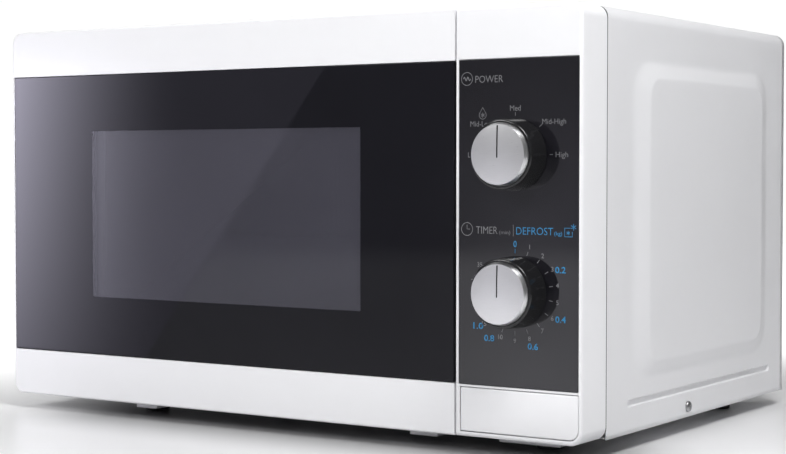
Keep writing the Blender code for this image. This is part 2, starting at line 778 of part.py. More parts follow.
def door_frame():
    """The white plastic door: a solid hinge stile, a hollow body open at the back and a recess for the glass."""
    outline = rounded_rectangle((-HALF, BOTTOM), (DOOR_RIGHT, TOP), (0.001, 0.001, CORNER, CORNER), 5)
    frame = sheet_of("door_frame", outline, "Y", FRONT_Y, DOOR_BACK, WHITE_PLASTIC)
    recess = box(
        "glass_recess",
        (-HALF - 0.01, FRONT_Y - 0.01, GLASS_Z[0]),
        (DOOR_RIGHT + 0.01, FRONT_Y + GLASS_THICK + GAP, GLASS_Z[1]),
    )
    hollow = box(
        "door_hollow",
        (STILE_X, FRONT_Y + DOOR_SKIN, BOTTOM + WALL),
        (DOOR_RIGHT - WALL, DOOR_BACK + 0.01, TOP - WALL),
    )
    (low_x, low_z), (high_x, high_z) = DOOR_WINDOW
    window = box("door_window", (low_x, FRONT_Y - 0.01, low_z), (high_x, FRONT_Y + 0.02, high_z))
    cut(frame, recess, hollow, window)
    corner = box(
        "stile_corner", (-HALF - 0.01, PIVOT.y, BOTTOM - 0.01), (PIVOT.x, DOOR_BACK + 0.01, TOP + 0.01)
    )
    swing = round_bar("stile_round", 0.0173, (PIVOT.x, PIVOT.y, 0.0), (PIVOT.x, PIVOT.y, 0.27), sides=64)
    cut(corner, swing)
    cut(frame, corner)
    for name, (low, high) in HINGE_Z.items():
        notch = box(
            f"{name}_notch",
            (-HALF - 0.01, PIVOT.y - 0.009, low - 0.001),
            (PIVOT.x + 0.0065, DOOR_BACK + 0.01, high + 0.001),
        )
        near, far = (high, high + 0.0105) if name == "lower" else (low, low - 0.0105)
        bore = round_bar(
            f"{name}_bore", 0.0029, (PIVOT.x, PIVOT.y, near), (PIVOT.x, PIVOT.y, far), sides=16
        )
        cut(frame, notch, bore)
    return frame


def door_glass():
    """The black-bordered front glass, which spans the door between the two white bands."""
    low = (-HALF + 0.0006, GLASS_Z[0] + GAP)
    high = (DOOR_RIGHT - 0.0006, GLASS_Z[1] - GAP)
    outline = rounded_rectangle(low, high, (0.0008,) * 4, 2)
    return sheet_of("door_glass", outline, "Y", FRONT_Y, FRONT_Y + GLASS_THICK, BLACK_GLASS)


def door_choke_frame():
    """The steel pan of the door, its flange forming the choke, with an opening for the screen."""
    low = (STILE_X + 0.003, BOTTOM + 0.006)
    high = (CHOKE_RIGHT, TOP - 0.006)
    outline = rounded_rectangle(low, high, (0.004,) * 4, 2)
    pan = sheet_of("door_choke_frame", outline, "Y", CHOKE_Y[0], CHOKE_Y[1], BLACK_PLASTIC)
    inset = rounded_rectangle(
        (low[0] + SHEET, low[1] + SHEET), (high[0] - SHEET, high[1] - SHEET), (0.003,) * 4, 2
    )
    inside = sheet_of("choke_inside", inset, "Y", CHOKE_Y[0] - 0.01, CHOKE_Y[1] - SHEET)
    window = sheet_of(
        "choke_window",
        rounded_rectangle(*SCREEN_WINDOW, (0.003,) * 4, 2),
        "Y",
        CHOKE_Y[0],
        CHOKE_Y[1] + 0.01,
    )
    return cut(pan, inside, window)


def door_screen():
    """The perforated steel screen behind the pan's opening; its holes are too fine to model here."""
    (low_x, low_z), (high_x, high_z) = SCREEN_WINDOW
    y = CHOKE_Y[1] - SHEET - GAP
    return box(
        "door_screen",
        (low_x - 0.006, y - 0.0006, low_z - 0.006),
        (high_x + 0.006, y, high_z + 0.006),
        GALVANISED,
    )


def door_choke_cover():
    """The plastic frame that closes the back of the door round the window, with slots for the hooks."""
    low = (STILE_X + 0.0005, BOTTOM + WALL + 0.0005)
    high = (DOOR_RIGHT - WALL - 0.0005, TOP - WALL - 0.0005)
    ring = sheet_of(
        "door_choke_cover",
        rounded_rectangle(low, high, (0.004,) * 4, 2),
        "Y",
        CHOKE_Y[1] + GAP,
        DOOR_BACK,
        GREY_PLASTIC,
    )
    (low_x, low_z), (high_x, high_z) = SCREEN_WINDOW
    opening = rounded_rectangle(
        (low_x - 0.012, low_z - 0.012), (high_x + 0.012, high_z + 0.012), (0.006,) * 4, 2
    )
    cut(ring, sheet_of("cover_opening", opening, "Y", CHOKE_Y[0], DOOR_BACK + 0.01))
    for i, height in enumerate(HOOK_Z):
        bottom, top = slot_z(height)
        cut(ring, box(f"cover_slot_{i}", (0.1225, CHOKE_Y[0], bottom), (0.1295, DOOR_BACK + 0.01, top)))
    return ring


def door_inner_window():
    """The clear sheet over the screen on the oven side."""
    (low_x, low_z), (high_x, high_z) = SCREEN_WINDOW
    edge = 0.012 - 0.0005
    outline = rounded_rectangle(
        (low_x - edge, low_z - edge), (high_x + edge, high_z + edge), (0.0055,) * 4, 2
    )
    start = CHOKE_Y[1] + GAP
    return sheet_of("door_inner_window", outline, "Y", start, start + 0.001, CLEAR_GLASS)


def door_latch():
    """The sliding latch bar with its two hooks, which catch the slots of the front plate."""
    bar_y = (DOOR_BACK - 0.016, DOOR_BACK - 0.008)
    bar = box(
        "door_latch",
        (HOOK_X[0], bar_y[0], HOOK_Z[0]),
        (HOOK_X[1], bar_y[1], HOOK_Z[1] + HOOK_HEIGHT),
        GREY_PLASTIC,
    )
    for i, height in enumerate(HOOK_Z):
        arm = box(
            f"hook_arm_{i}",
            (HOOK_X[0], bar_y[1] - 0.001, height),
            (HOOK_X[1], HOOK_TIP_Y, height + HOOK_HEIGHT),
        )
        nose = box(
            f"hook_nose_{i}",
            (HOOK_X[0], HOOK_TIP_Y - 0.004, height - HOOK_NOSE),
            (HOOK_X[1], HOOK_TIP_Y, height + 0.001),
        )
        join(bar, arm, nose)
    return bar


SPRING_Z = (BOTTOM + WALL + GAP, HOOK_Z[0] - 2 * GAP)


def latch_spring():
    """The coil spring that pulls the latch bar down."""
    turns, per_turn, radius, wire = 10, 9, 0.0022, 0.00045
    x, y = sum(HOOK_X) / 2, DOOR_BACK - 0.012
    low, high = SPRING_Z[0] + wire, SPRING_Z[1] - wire
    curve = bpy.data.curves.new("latch_spring", "CURVE")
    curve.dimensions = "3D"
    curve.bevel_depth = wire
    curve.bevel_resolution = 2
    curve.use_fill_caps = True
    count = turns * per_turn + 1
    line = curve.splines.new("POLY")
    line.points.add(count - 1)
    for i, point in enumerate(line.points):
        angle = 2 * math.pi * i / per_turn
        point.co = (
            x + radius * math.cos(angle),
            y + radius * math.sin(angle),
            low + (high - low) * i / (count - 1),
            1.0,
        )
    spring = bpy.data.objects.new("latch_spring", curve)
    OVEN.objects.link(spring)
    curve.materials.append(GALVANISED)
    return spring


# ---------------------------------------------------------------- control panel
def control_panel_housing():
    """The white plastic front of the controls: a shell open at the back, with a recess for the fascia."""
    outline = rounded_rectangle((PANEL_LEFT, BOTTOM), (HALF, TOP), (CORNER, CORNER, 0.001, 0.001), 5)
    housing = sheet_of("control_panel_housing", outline, "Y", FRONT_Y, SEAM_Y, WHITE_PLASTIC)
    inset = rounded_rectangle(
        (PANEL_LEFT + WALL, BOTTOM + WALL), (HALF - WALL, TOP - WALL), (0.0055, 0.0055, 0.001, 0.001), 3
    )
    hollow = sheet_of("housing_inside", inset, "Y", FRONT_Y + 0.004, SEAM_Y + 0.01)
    recess = box(
        "fascia_recess",
        (FASCIA_X[0], FRONT_Y - 0.01, FASCIA_Z[0]),
        (FASCIA_X[1], FRONT_Y + FASCIA_THICK + GAP, FASCIA_Z[1]),
    )
    reach = 0.0005
    mouth = rounded_rectangle(
        (BUTTON_X[0] - reach, BUTTON_Z[0] - reach), (BUTTON_X[1] + reach, BUTTON_Z[1] + reach), (
            0.0065, 0.0008, 0.0008, 0.0008
        ), 3
    )
    button_hole = sheet_of("button_hole", mouth, "Y", FRONT_Y - 0.01, FRONT_Y + 0.012)
    cut(housing, hollow, recess, button_hole)
    for name, z in (("power", POWER_Z), ("timer", TIMER_Z)):
        cut(
            housing,
            round_bar(
                f"{name}_shaft_hole",
                0.0055,
                (KNOB_X, FRONT_Y - 0.01, z),
                (KNOB_X, FRONT_Y + 0.01, z),
                sides=16,
            ),
        )
    return housing


def control_panel_fascia():
    """The glossy black fascia, with a hole for each shaft."""
    low = (FASCIA_X[0] + GAP, FASCIA_Z[0] + GAP)
    high = (FASCIA_X[1] - GAP, FASCIA_Z[1] - GAP)
    fascia = sheet_of(
        "control_panel_fascia",
        rounded_rectangle(low, high, (0.0006,) * 4, 1),
        "Y",
        FRONT_Y,
        FRONT_Y + FASCIA_THICK,
        BLACK_PLASTIC,
    )
    for name, z in (("power", POWER_Z), ("timer", TIMER_Z)):
        cut(
            fascia,
            round_bar(
                f"{name}_fascia_hole",
                0.0050,
                (KNOB_X, FRONT_Y - 0.01, z),
                (KNOB_X, FRONT_Y + 0.01, z),
                sides=16,
            ),
        )
    return fascia


def release_button():
    """The push panel that opens the door, with a stem that presses the release lever."""
    outline = rounded_rectangle(
        (BUTTON_X[0], BUTTON_Z[0]), (BUTTON_X[1], BUTTON_Z[1]), (0.006, 0.0005, 0.0005, 0.0005), 3
    )
    button = sheet_of("release_button", outline, "Y", FRONT_Y, FRONT_Y + 0.003, WHITE_PLASTIC)
    stem = box("button_stem", (0.153, FRONT_Y + 0.002, 0.0265), (0.163, LEVER_Y - 0.0019, 0.0295))
    return join(button, stem)


def release_lever():
    """The rocking lever: the button pushes its lower arm, and its rear arm lifts the lower hook."""
    hub = round_bar(
        "release_lever", 0.0035, (0.1215, LEVER_Y, LEVER_Z), (0.166, LEVER_Y, LEVER_Z), GREY_PLASTIC, 20
    )
    lower = box("lever_lower_arm", (0.150, LEVER_Y - 0.0015, 0.0245), (0.166, LEVER_Y + 0.0015, LEVER_Z))
    rear = box(
        "lever_rear_arm",
        (0.1225, LEVER_Y, LEVER_Z - 0.002),
        (0.1295, LEVER_Y + 0.011, HOOK_Z[0] - HOOK_NOSE - 0.0007),
    )
    return join(hub, lower, rear)


def knob(name, z):
    """A rotary knob: a black ribbed body, a brushed cap with a pointer and the shaft that it turns."""
    front, back = -KNOB_Y, -FRONT_Y + 0.0004
    body_front = front - 0.0008
    profile = [
        (CAP_RADIUS + 0.0003, body_front - 0.0016),
        (CAP_RADIUS + 0.0003, body_front),
        (KNOB_RADIUS - 0.0006, body_front),
    ]
    profile += [
        (KNOB_RADIUS, body_front - 0.002),
        (KNOB_RADIUS, back),
        (SHAFT_RADIUS + 0.0035, back),
        (SHAFT_RADIUS + 0.0004, back),
    ]
    profile += [(SHAFT_RADIUS + 0.0004, back + 0.0100), (0.0, back + 0.0100)]
    body = turned(
        f"{name}_knob", [(0.0, body_front - 0.0016), *profile], (KNOB_X, 0.0, z), "Y", BLACK_PLASTIC, 40
    )
    face = body_front - 0.0016 + GAP
    cap_profile = [
        (0.0, front),
        (CAP_RADIUS - 0.0016, front),
        (CAP_RADIUS, front - 0.0010),
        (CAP_RADIUS, face),
        (0.0, face),
    ]
    cap = turned(f"{name}_knob_cap", cap_profile, (KNOB_X, 0.0, z), "Y", BRUSHED, 40)
    line = box(
        f"{name}_pointer",
        (KNOB_X - 0.0006, KNOB_Y - 0.001, z - 0.002),
        (KNOB_X + 0.0006, KNOB_Y + 0.0004, z + CAP_RADIUS - 0.0018),
    )
    cut(cap, line)
    start = FRONT_Y - 0.0095
    shaft = round_bar(
        f"{name}_shaft", SHAFT_RADIUS, (KNOB_X, start, z), (KNOB_X, FRONT_Y + 0.012, z), GALVANISED, 16
    )
    return body, cap, shaft


def timer_unit():
    """The clockwork timer behind the lower knob, with its mounting plate and bell."""
    front = FRONT_Y + 0.0055
    unit = box(
        "timer_unit",
        (KNOB_X - 0.024, front, TIMER_Z - 0.026),
        (KNOB_X + 0.024, front + 0.034, TIMER_Z + 0.026),
        GREY_PLASTIC,
    )
    bell = round_bar(
        "timer_bell",
        0.019,
        (KNOB_X, front + 0.033, TIMER_Z),
        (KNOB_X, front + 0.041, TIMER_Z),
        sides=20,
        end_radius=0.013,
    )
    bore = round_bar(
        "timer_bore", 0.0034, (KNOB_X, front - 0.01, TIMER_Z), (KNOB_X, front + 0.009, TIMER_Z), sides=16
    )
    return cut(join(unit, bell), bore)


def power_selector():
    """The power switch behind the upper knob."""
    front = FRONT_Y + 0.0055
    unit = box(
        "power_selector",
        (KNOB_X - 0.021, front, POWER_Z - 0.021),
        (KNOB_X + 0.021, front + 0.022, POWER_Z + 0.021),
        GREY_PLASTIC,
    )
    cam = round_bar(
        "selector_cam",
        0.015,
        (KNOB_X, front + 0.021, POWER_Z),
        (KNOB_X, front + 0.030, POWER_Z),
        sides=20,
    )
    bore = round_bar(
        "selector_bore",
        0.0034,
        (KNOB_X, front - 0.01, POWER_Z),
        (KNOB_X, front + 0.009, POWER_Z),
        sides=16,
    )
    return cut(join(unit, cam), bore)


BOARD_X = (0.1318, 0.1348)


def latch_board():
    """The plastic board beside the hooks that carries the door switches and the lever."""
    front = CAVITY_FRONT
    outline = rounded_rectangle((front, 0.035), (front + 0.030, 0.222), (0.003,) * 4, 2)
    board = sheet_of("latch_board", outline, "X", BOARD_X[0], BOARD_X[1], WHITE_PLASTIC)
    hole = round_bar(
        "lever_bearing", 0.0039, (0.12, LEVER_Y, LEVER_Z), (0.14, LEVER_Y, LEVER_Z), sides=20
    )
    return cut(board, hole)


SWITCH_PLACES = {"primary": 0.056, "monitor": 0.092, "secondary": 0.196}


def interlock_switch(name, z):
    """A snap-action door switch on the latch board."""
    x = BOARD_X[1] + GAP
    y = CAVITY_FRONT + 0.001
    body = box(f"{name}_switch", (x, y, z), (x + 0.0103, y + 0.0278, z + 0.0159), BLACK_PLASTIC)
    plunger = box(
        f"{name}_plunger", (x + 0.003, y + 0.007, z - 0.0015), (x + 0.007, y + 0.009, z + 0.001)
    )
    return join(body, plunger)


# ---------------------------------------------------------------- electrical parts
MAGNETRON_Y, MAGNETRON_Z = 0.005, 0.150
MAGNETRON_X = (BAY_X[0] + 0.018 + GAP, 0.190)


def magnetron():
    """The magnetron: a finned body in its yoke, and the antenna that reaches into the waveguide."""
    low = (MAGNETRON_X[0], MAGNETRON_Y - 0.040, MAGNETRON_Z - 0.038)
    high = (MAGNETRON_X[1], MAGNETRON_Y + 0.040, MAGNETRON_Z + 0.038)
    body = box("magnetron_body", low, high, GALVANISED)
    for side in (-1, 1):
        for i in range(5):
            x = low[0] + 0.010 + 0.008 * i
            near, far = MAGNETRON_Z + side * 0.016, MAGNETRON_Z + side * 0.036
            gap = box(
                f"fin_gap_{side}_{i}",
                (x, low[1] - 0.01, min(near, far)),
                (x + 0.006, high[1] + 0.01, max(near, far)),
            )
            cut(body, gap)
    filter_box = box(
        "filter_box",
        (high[0] - 0.001, MAGNETRON_Y - 0.025, low[2] + 0.01),
        (high[0] + 0.018, MAGNETRON_Y + 0.025, high[2] - 0.01),
    )
    join(body, filter_box)
    tip = MAGNETRON_X[0] - 0.014
    antenna = round_bar(
        "magnetron_antenna", 0.009, (MAGNETRON_X[0] - GAP, MAGNETRON_Y, MAGNETRON_Z), (
            tip, MAGNETRON_Y, MAGNETRON_Z
        ), ALUMINIUM, 20, 0.007
    )
    return body, antenna


CORE_X = (0.131, 0.209)
CORE_Y = (0.066, 0.106)
CORE_Z = (BASE_Z[1] + GAP, BASE_Z[1] + GAP + 0.066)


def transformer():
    """The high-voltage transformer: a laminated core with two windows and the windings round its middle leg."""
    core = box(
        "transformer_core",
        (CORE_X[0], CORE_Y[0], CORE_Z[0]),
        (CORE_X[1], CORE_Y[1], CORE_Z[1]),
        GALVANISED,
    )
    middle = sum(CORE_X) / 2
    leg = 0.013
    window = 0.014
    for side in (-1, 1):
        near, far = middle + side * leg, middle + side * (leg + window)
        hole = box(
            f"core_window_{side}",
            (min(near, far), CORE_Y[0] - 0.01, CORE_Z[0] + 0.012),
            (max(near, far), CORE_Y[1] + 0.01, CORE_Z[1] - 0.012),
        )
        cut(core, hole)
    windings = []
    inner_z = (CORE_Z[0] + 0.012 + GAP, CORE_Z[1] - 0.012 - GAP)
    split = inner_z[0] + (inner_z[1] - inner_z[0]) * 0.45
    for name, (low, high) in (
        ("primary_winding", (inner_z[0], split - GAP)), ("secondary_winding", (split + GAP, inner_z[1]))
    ):
        around = rounded_rectangle(
            (
                middle - leg - window + GAP, CORE_Y[0] - window
            ), (middle + leg + window - GAP, CORE_Y[1] + window), (0.008,) * 4, 3
        )
        coil = sheet_of(name, around, "Z", low, high, COPPER)
        hole = box(
            f"{name}_hole",
            (middle - leg - GAP, CORE_Y[0] - GAP, low - 0.01),
            (middle + leg + GAP, CORE_Y[1] + GAP, high + 0.01),
        )
        windings.append(cut(coil, hole))
    return core, windings


def capacitor():
    """The high-voltage capacitor, an oval can with two terminals."""
    outline = rounded_rectangle((0.150, -0.072), (0.202, -0.038), (0.0168,) * 4, 5)
    can = sheet_of("capacitor", outline, "Z", BASE_Z[1] + GAP, 0.088, ALUMINIUM)
    for side in (-1, 1):
        x = 0.176 + side * 0.012
        join(can, round_bar(f"terminal_{side}", 0.0035, (x, -0.055, 0.087), (x, -0.055, 0.096), sides=12))
    return can


FAN_Y = (REAR_Y - 0.022, REAR_Y - 0.008)


def fan():
    """The cooling fan: its shroud, its shaded-pole motor and the bladed wheel."""
    shroud_y = (REAR_Y - 0.024, REAR_Y - 0.0055)
    low_z, high_z = FAN_Z - 0.046, FAN_Z + 0.046
    shroud = box(
        "fan_shroud",
        (BAY_X[0] + 0.002, shroud_y[0], low_z),
        (INSIDE_X - 0.003, shroud_y[1], high_z),
        GREY_PLASTIC,
    )
    duct = round_bar(
        "fan_duct",
        FAN_RADIUS + 0.003,
        (FAN_X, shroud_y[0] - 0.01, FAN_Z),
        (FAN_X, shroud_y[1] + 0.01, FAN_Z),
        sides=32,
    )
    cut(shroud, duct)
    motor_y = (shroud_y[0] - 0.030, shroud_y[0] - 0.006)
    motor = box(
        "fan_motor",
        (FAN_X - 0.022, motor_y[0], FAN_Z - 0.024),
        (FAN_X + 0.022, motor_y[1], FAN_Z + 0.024),
        GALVANISED,
    )
    coil = box(
        "motor_coil",
        (FAN_X - 0.030, motor_y[0] + 0.003, FAN_Z - 0.034),
        (FAN_X + 0.030, motor_y[1] - 0.003, FAN_Z - 0.020),
    )
    bearing = round_bar(
        "motor_bearing",
        0.009,
        (FAN_X, motor_y[1] - 0.001, FAN_Z),
        (FAN_X, motor_y[1] + 0.003, FAN_Z),
        sides=16,
    )
    join(motor, coil, bearing)
    for side in (-1, 1):
        x = FAN_X + side * 0.020
        strut = box(
            f"motor_strut_{side}",
            (x - 0.002, motor_y[1] - 0.001, FAN_Z + 0.018),
            (x + 0.002, shroud_y[0] - GAP, FAN_Z + 0.024),
        )
        join(motor, strut)
    hub = round_bar(
        "fan_wheel", 0.010, (FAN_X, FAN_Y[0], FAN_Z), (FAN_X, FAN_Y[1], FAN_Z), BLACK_PLASTIC, 20
    )
    for i in range(5):
        blade = box(f"blade_{i}", (0.008, -0.0008, -0.009), (FAN_RADIUS, 0.0008, 0.009))
        blade.location = (0, 0, 0)
        centre = Vector((FAN_X, sum(FAN_Y) / 2, FAN_Z))
        around = Matrix.Rotation(2 * math.pi * i / 5, 4, "Y")
        outward = Matrix.Translation(((0.008 + FAN_RADIUS) / 2, 0, 0))
        pitch = Matrix.Rotation(math.radians(35), 4, "X")
        blade.matrix_world = Matrix.Translation(centre) @ around @ outward @ pitch
        join(hub, blade)
    return shroud, motor, hub


def air_guide():
    """The plastic baffle that leads the fan's air past the magnetron."""
    y = (0.060, 0.0615)
    wall = box(
        "air_guide",
        (BAY_X[0] + 0.001, y[0], 0.205),
        (INSIDE_X - 0.004, REAR_Y - 0.030, 0.2065),
        GREY_PLASTIC,
    )
    drop = box(
        "air_guide_drop", (INSIDE_X - 0.0055, y[0], 0.130), (INSIDE_X - 0.004, REAR_Y - 0.030, 0.2062)
    )
    return join(wall, drop)


def filter_board():
    """The mains filter board with its fuse and choke, above the air guide."""
    low = (0.128, 0.020, 0.232)
    board = box("filter_board", low, (0.206, 0.100, 0.2336), CIRCUIT_BOARD)
    choke = round_bar("filter_choke", 0.011, (0.185, 0.045, 0.233), (0.185, 0.045, 0.246), sides=16)
    fuse = round_bar("filter_fuse", 0.003, (0.142, 0.035, 0.236), (0.142, 0.065, 0.236), sides=10)
    film_capacitor = box("film_capacitor", (0.168, 0.068, 0.233), (0.194, 0.080, 0.247))
    return join(board, choke, fuse, film_capacitor)


# ---------------------------------------------------------------- assembly
def main():
    outer_cover()
    rear_panel()
    base_plate()
    for place, centre in FOOT_PLACES.items():
        foot(place, centre)
    for side in (-1, 1):
        side_screw(side)
    cord_gland()

    oven_cavity()
    cavity_front_plate()
    waveguide()
    waveguide_cover()
    lamp()
    for name in HINGE_Z:
        hinge(name)

    control_panel_housing()
    control_panel_fascia()
    timer_unit()
    power_selector()
    latch_board()
    for name, z in SWITCH_PLACES.items():
        interlock_switch(name, z)

    magnetron()
    transformer()
    capacitor()
    _, _, fan_wheel = fan()
    air_guide()
    filter_board()
    turntable_motor()

    door = pivot_at("door_pivot", PIVOT)
    latch_axis = pivot_at("latch_slide", (sum(HOOK_X) / 2, DOOR_BACK - 0.012, HOOK_Z[0]))
    carry(latch_axis, door_latch())
    carry(
        door,
        door_frame(),
        door_glass(),
        door_choke_frame(),
        door_screen(),
        door_choke_cover(),
        door_inner_window(),
    )
    carry(door, latch_spring(), latch_axis)

    for name, z in (("power", POWER_Z), ("timer", TIMER_Z)):
        carry(pivot_at(f"{name}_axis", (KNOB_X, FRONT_Y, z)), *knob(name, z))
    carry(pivot_at("button_slide", (sum(BUTTON_X) / 2, FRONT_Y, sum(BUTTON_Z) / 2)), release_button())
    carry(pivot_at("lever_axis", (0.144, LEVER_Y, LEVER_Z)), release_lever())
    carry(pivot_at("fan_axis", (FAN_X, FAN_Y[0], FAN_Z)), fan_wheel)

    tray, coupler = turntable()
    carry(pivot_at("turntable_axis", (TABLE_X, TABLE_Y, FLOOR_Z)), tray, coupler)
    ring, rollers = roller_ring()
    ring_axis = pivot_at("ring_axis", (TABLE_X, TABLE_Y, ROLLER_Z))
    carry(ring_axis, ring)
    for roller in rollers:
        axle = pivot_at(f"{roller.name}_axle", roller.location)
        carry(ring_axis, axle)
        carry(axle, roller)


main()
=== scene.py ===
"""The finished look of a countertop microwave oven with two rotary controls.

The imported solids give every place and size. Each sub-assembly is a class: its fields are its sizes, and
its methods work out the surfaces as arrays and give them their finishes. Lengths are in metres, +Z is up
and -Y is the front.
"""

import logging
import math
from collections.abc import Sequence
from dataclasses import dataclass, field
from enum import Enum
from functools import cache

import bmesh
import bpy
import numpy as np
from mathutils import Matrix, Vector


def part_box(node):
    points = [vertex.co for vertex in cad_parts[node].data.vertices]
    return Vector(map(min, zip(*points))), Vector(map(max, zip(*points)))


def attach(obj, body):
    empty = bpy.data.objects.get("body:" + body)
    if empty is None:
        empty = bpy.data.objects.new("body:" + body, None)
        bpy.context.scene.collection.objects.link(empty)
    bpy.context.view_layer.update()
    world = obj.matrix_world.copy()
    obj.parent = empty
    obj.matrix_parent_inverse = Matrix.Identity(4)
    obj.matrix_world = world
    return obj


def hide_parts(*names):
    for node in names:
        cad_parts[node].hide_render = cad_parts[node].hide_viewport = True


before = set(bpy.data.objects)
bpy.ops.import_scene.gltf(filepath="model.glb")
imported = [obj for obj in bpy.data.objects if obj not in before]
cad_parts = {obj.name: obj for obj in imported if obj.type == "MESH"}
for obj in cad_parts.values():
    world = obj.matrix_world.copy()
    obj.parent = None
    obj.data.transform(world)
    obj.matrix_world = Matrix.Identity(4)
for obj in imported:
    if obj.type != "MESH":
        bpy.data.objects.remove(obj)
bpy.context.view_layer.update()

LOG = logging.getLogger("microwave_oven")
Colour = tuple[float, float, float]
Point = tuple[float, float, float]
Flat = tuple[float, float]

SMOOTH_LIMIT = 32.0  # degrees between two faces up to which their edge shades smooth
EASE_LIMIT = 40.0  # degrees from which an edge is rounded
MERGE = 0.000004  # points closer than this become one
WELD = 0.000005  # the same for a solid's copy
SLIVER = 0.000002  # edges shorter than this go
REACH = 0.05  # how far a cutter goes beyond what it cuts
HAIR = (0.0001, 0.0001)  # roundings that only break two sharp edges
SLIGHT = (0.0005, 0.0005)  # roundings of a hidden edge


class Axis(Enum):
    """The direction a flat outline is carried in: places of its two coordinates and of the depth."""

    X = (1, 2, 0)
    Y = (0, 2, 1)
    Z = (0, 1, 2)

    def place(self, flat: np.ndarray, depth: np.ndarray | float) -> np.ndarray:
        """Puts flat points into space.

        Args:
            flat: The outline's two coordinates, in the last dimension.
            depth: The position along the axis, one for all points or one for each.

        Returns:
            The points with three coordinates.
        """
        first, second, along = self.value
        points = np.empty(flat.shape[:-1] + (3,))
        points[..., first] = flat[..., 0]
        points[..., second] = flat[..., 1]
        points[..., along] = depth
        return points


# ---------------------------------------------------------------- surfaces
def arc(centre: Flat, radius: float, start: float, end: float, steps: int) -> np.ndarray:
    """Points on a circle's arc: the centre plus the radius times the cosine and sine of evenly spaced angles.

    Args:
        centre: Middle of the circle.
        radius: Its radius.
        start: First angle, in degrees.
        end: Last angle, in degrees.
        steps: Number of equal parts.

    Returns:
        An array of steps + 1 points with two coordinates.
    """
    angle = np.radians(np.linspace(start, end, steps + 1))
    return np.stack([centre[0] + radius * np.cos(angle), centre[1] + radius * np.sin(angle)], axis=-1)


def rounded_rectangle(
    low: Flat, high: Flat, radii: Sequence[float], inset: float = 0.0, steps: int = 8
) -> np.ndarray:
    """A rectangle's outline, moved in by an inset, its corners quarter circles.

    The corners come in the order right bottom, right top, left top and left bottom, and always have the same
    number of points, so that two such outlines can be joined point by point.

    Args:
        low: Left bottom corner.
        high: Right top corner.
        radii: The four corners' radii before the inset.
        inset: How far the outline moves in.
        steps: Parts in each quarter circle.

    Returns:
        The outline's points, counter-clockwise.
    """
    left, bottom, right, top = low[0] + inset, low[1] + inset, high[0] - inset, high[1] - inset
    corners = ((right, bottom, 1, -1), (right, top, 1, 1), (left, top, -1, 1), (left, bottom, -1, -1))
    parts = []
    for turn, ((x, y, to_right, up), radius) in enumerate(zip(corners, radii)):
        r = max(radius - inset, 0.00001)
        parts.append(arc((x - to_right * r, y - up * r), r, 90 * turn - 90, 90 * turn, steps))
    return np.concatenate(parts)


def shaded(mesh: bpy.types.Mesh, angle: float = SMOOTH_LIMIT) -> bpy.types.Mesh:
    """Shades a mesh smooth, with the edges sharper than an angle kept sharp.

    Args:
        mesh: The mesh.
        angle: The angle in degrees.

    Returns:
        The mesh.
    """
    mesh.shade_smooth()
    mesh.set_sharp_from_angle(angle=math.radians(angle))
    return mesh


def fillet(inset: float, depth: float, radius: float, towards: int, steps: int = 3) -> list[Flat]:
    """A rounded edge between an outline's side and its face, as (inset, depth) pairs.

    Args:
        inset: Inset of the side.
        depth: Depth of the face.
        radius: Radius of the rounding.
        towards: 1 where the body lies at greater depth than the face, -1 where it lies at less.
        steps: Parts in the quarter circle.

    Returns:
        Pairs that run from the face out to the side.
    """
    angle = np.linspace(0, math.pi / 2, steps + 1)
    rounded = zip(inset + radius * (1 - np.sin(angle)), depth + towards * radius * (1 - np.cos(angle)))
    return [(float(a), float(b)) for a, b in rounded]


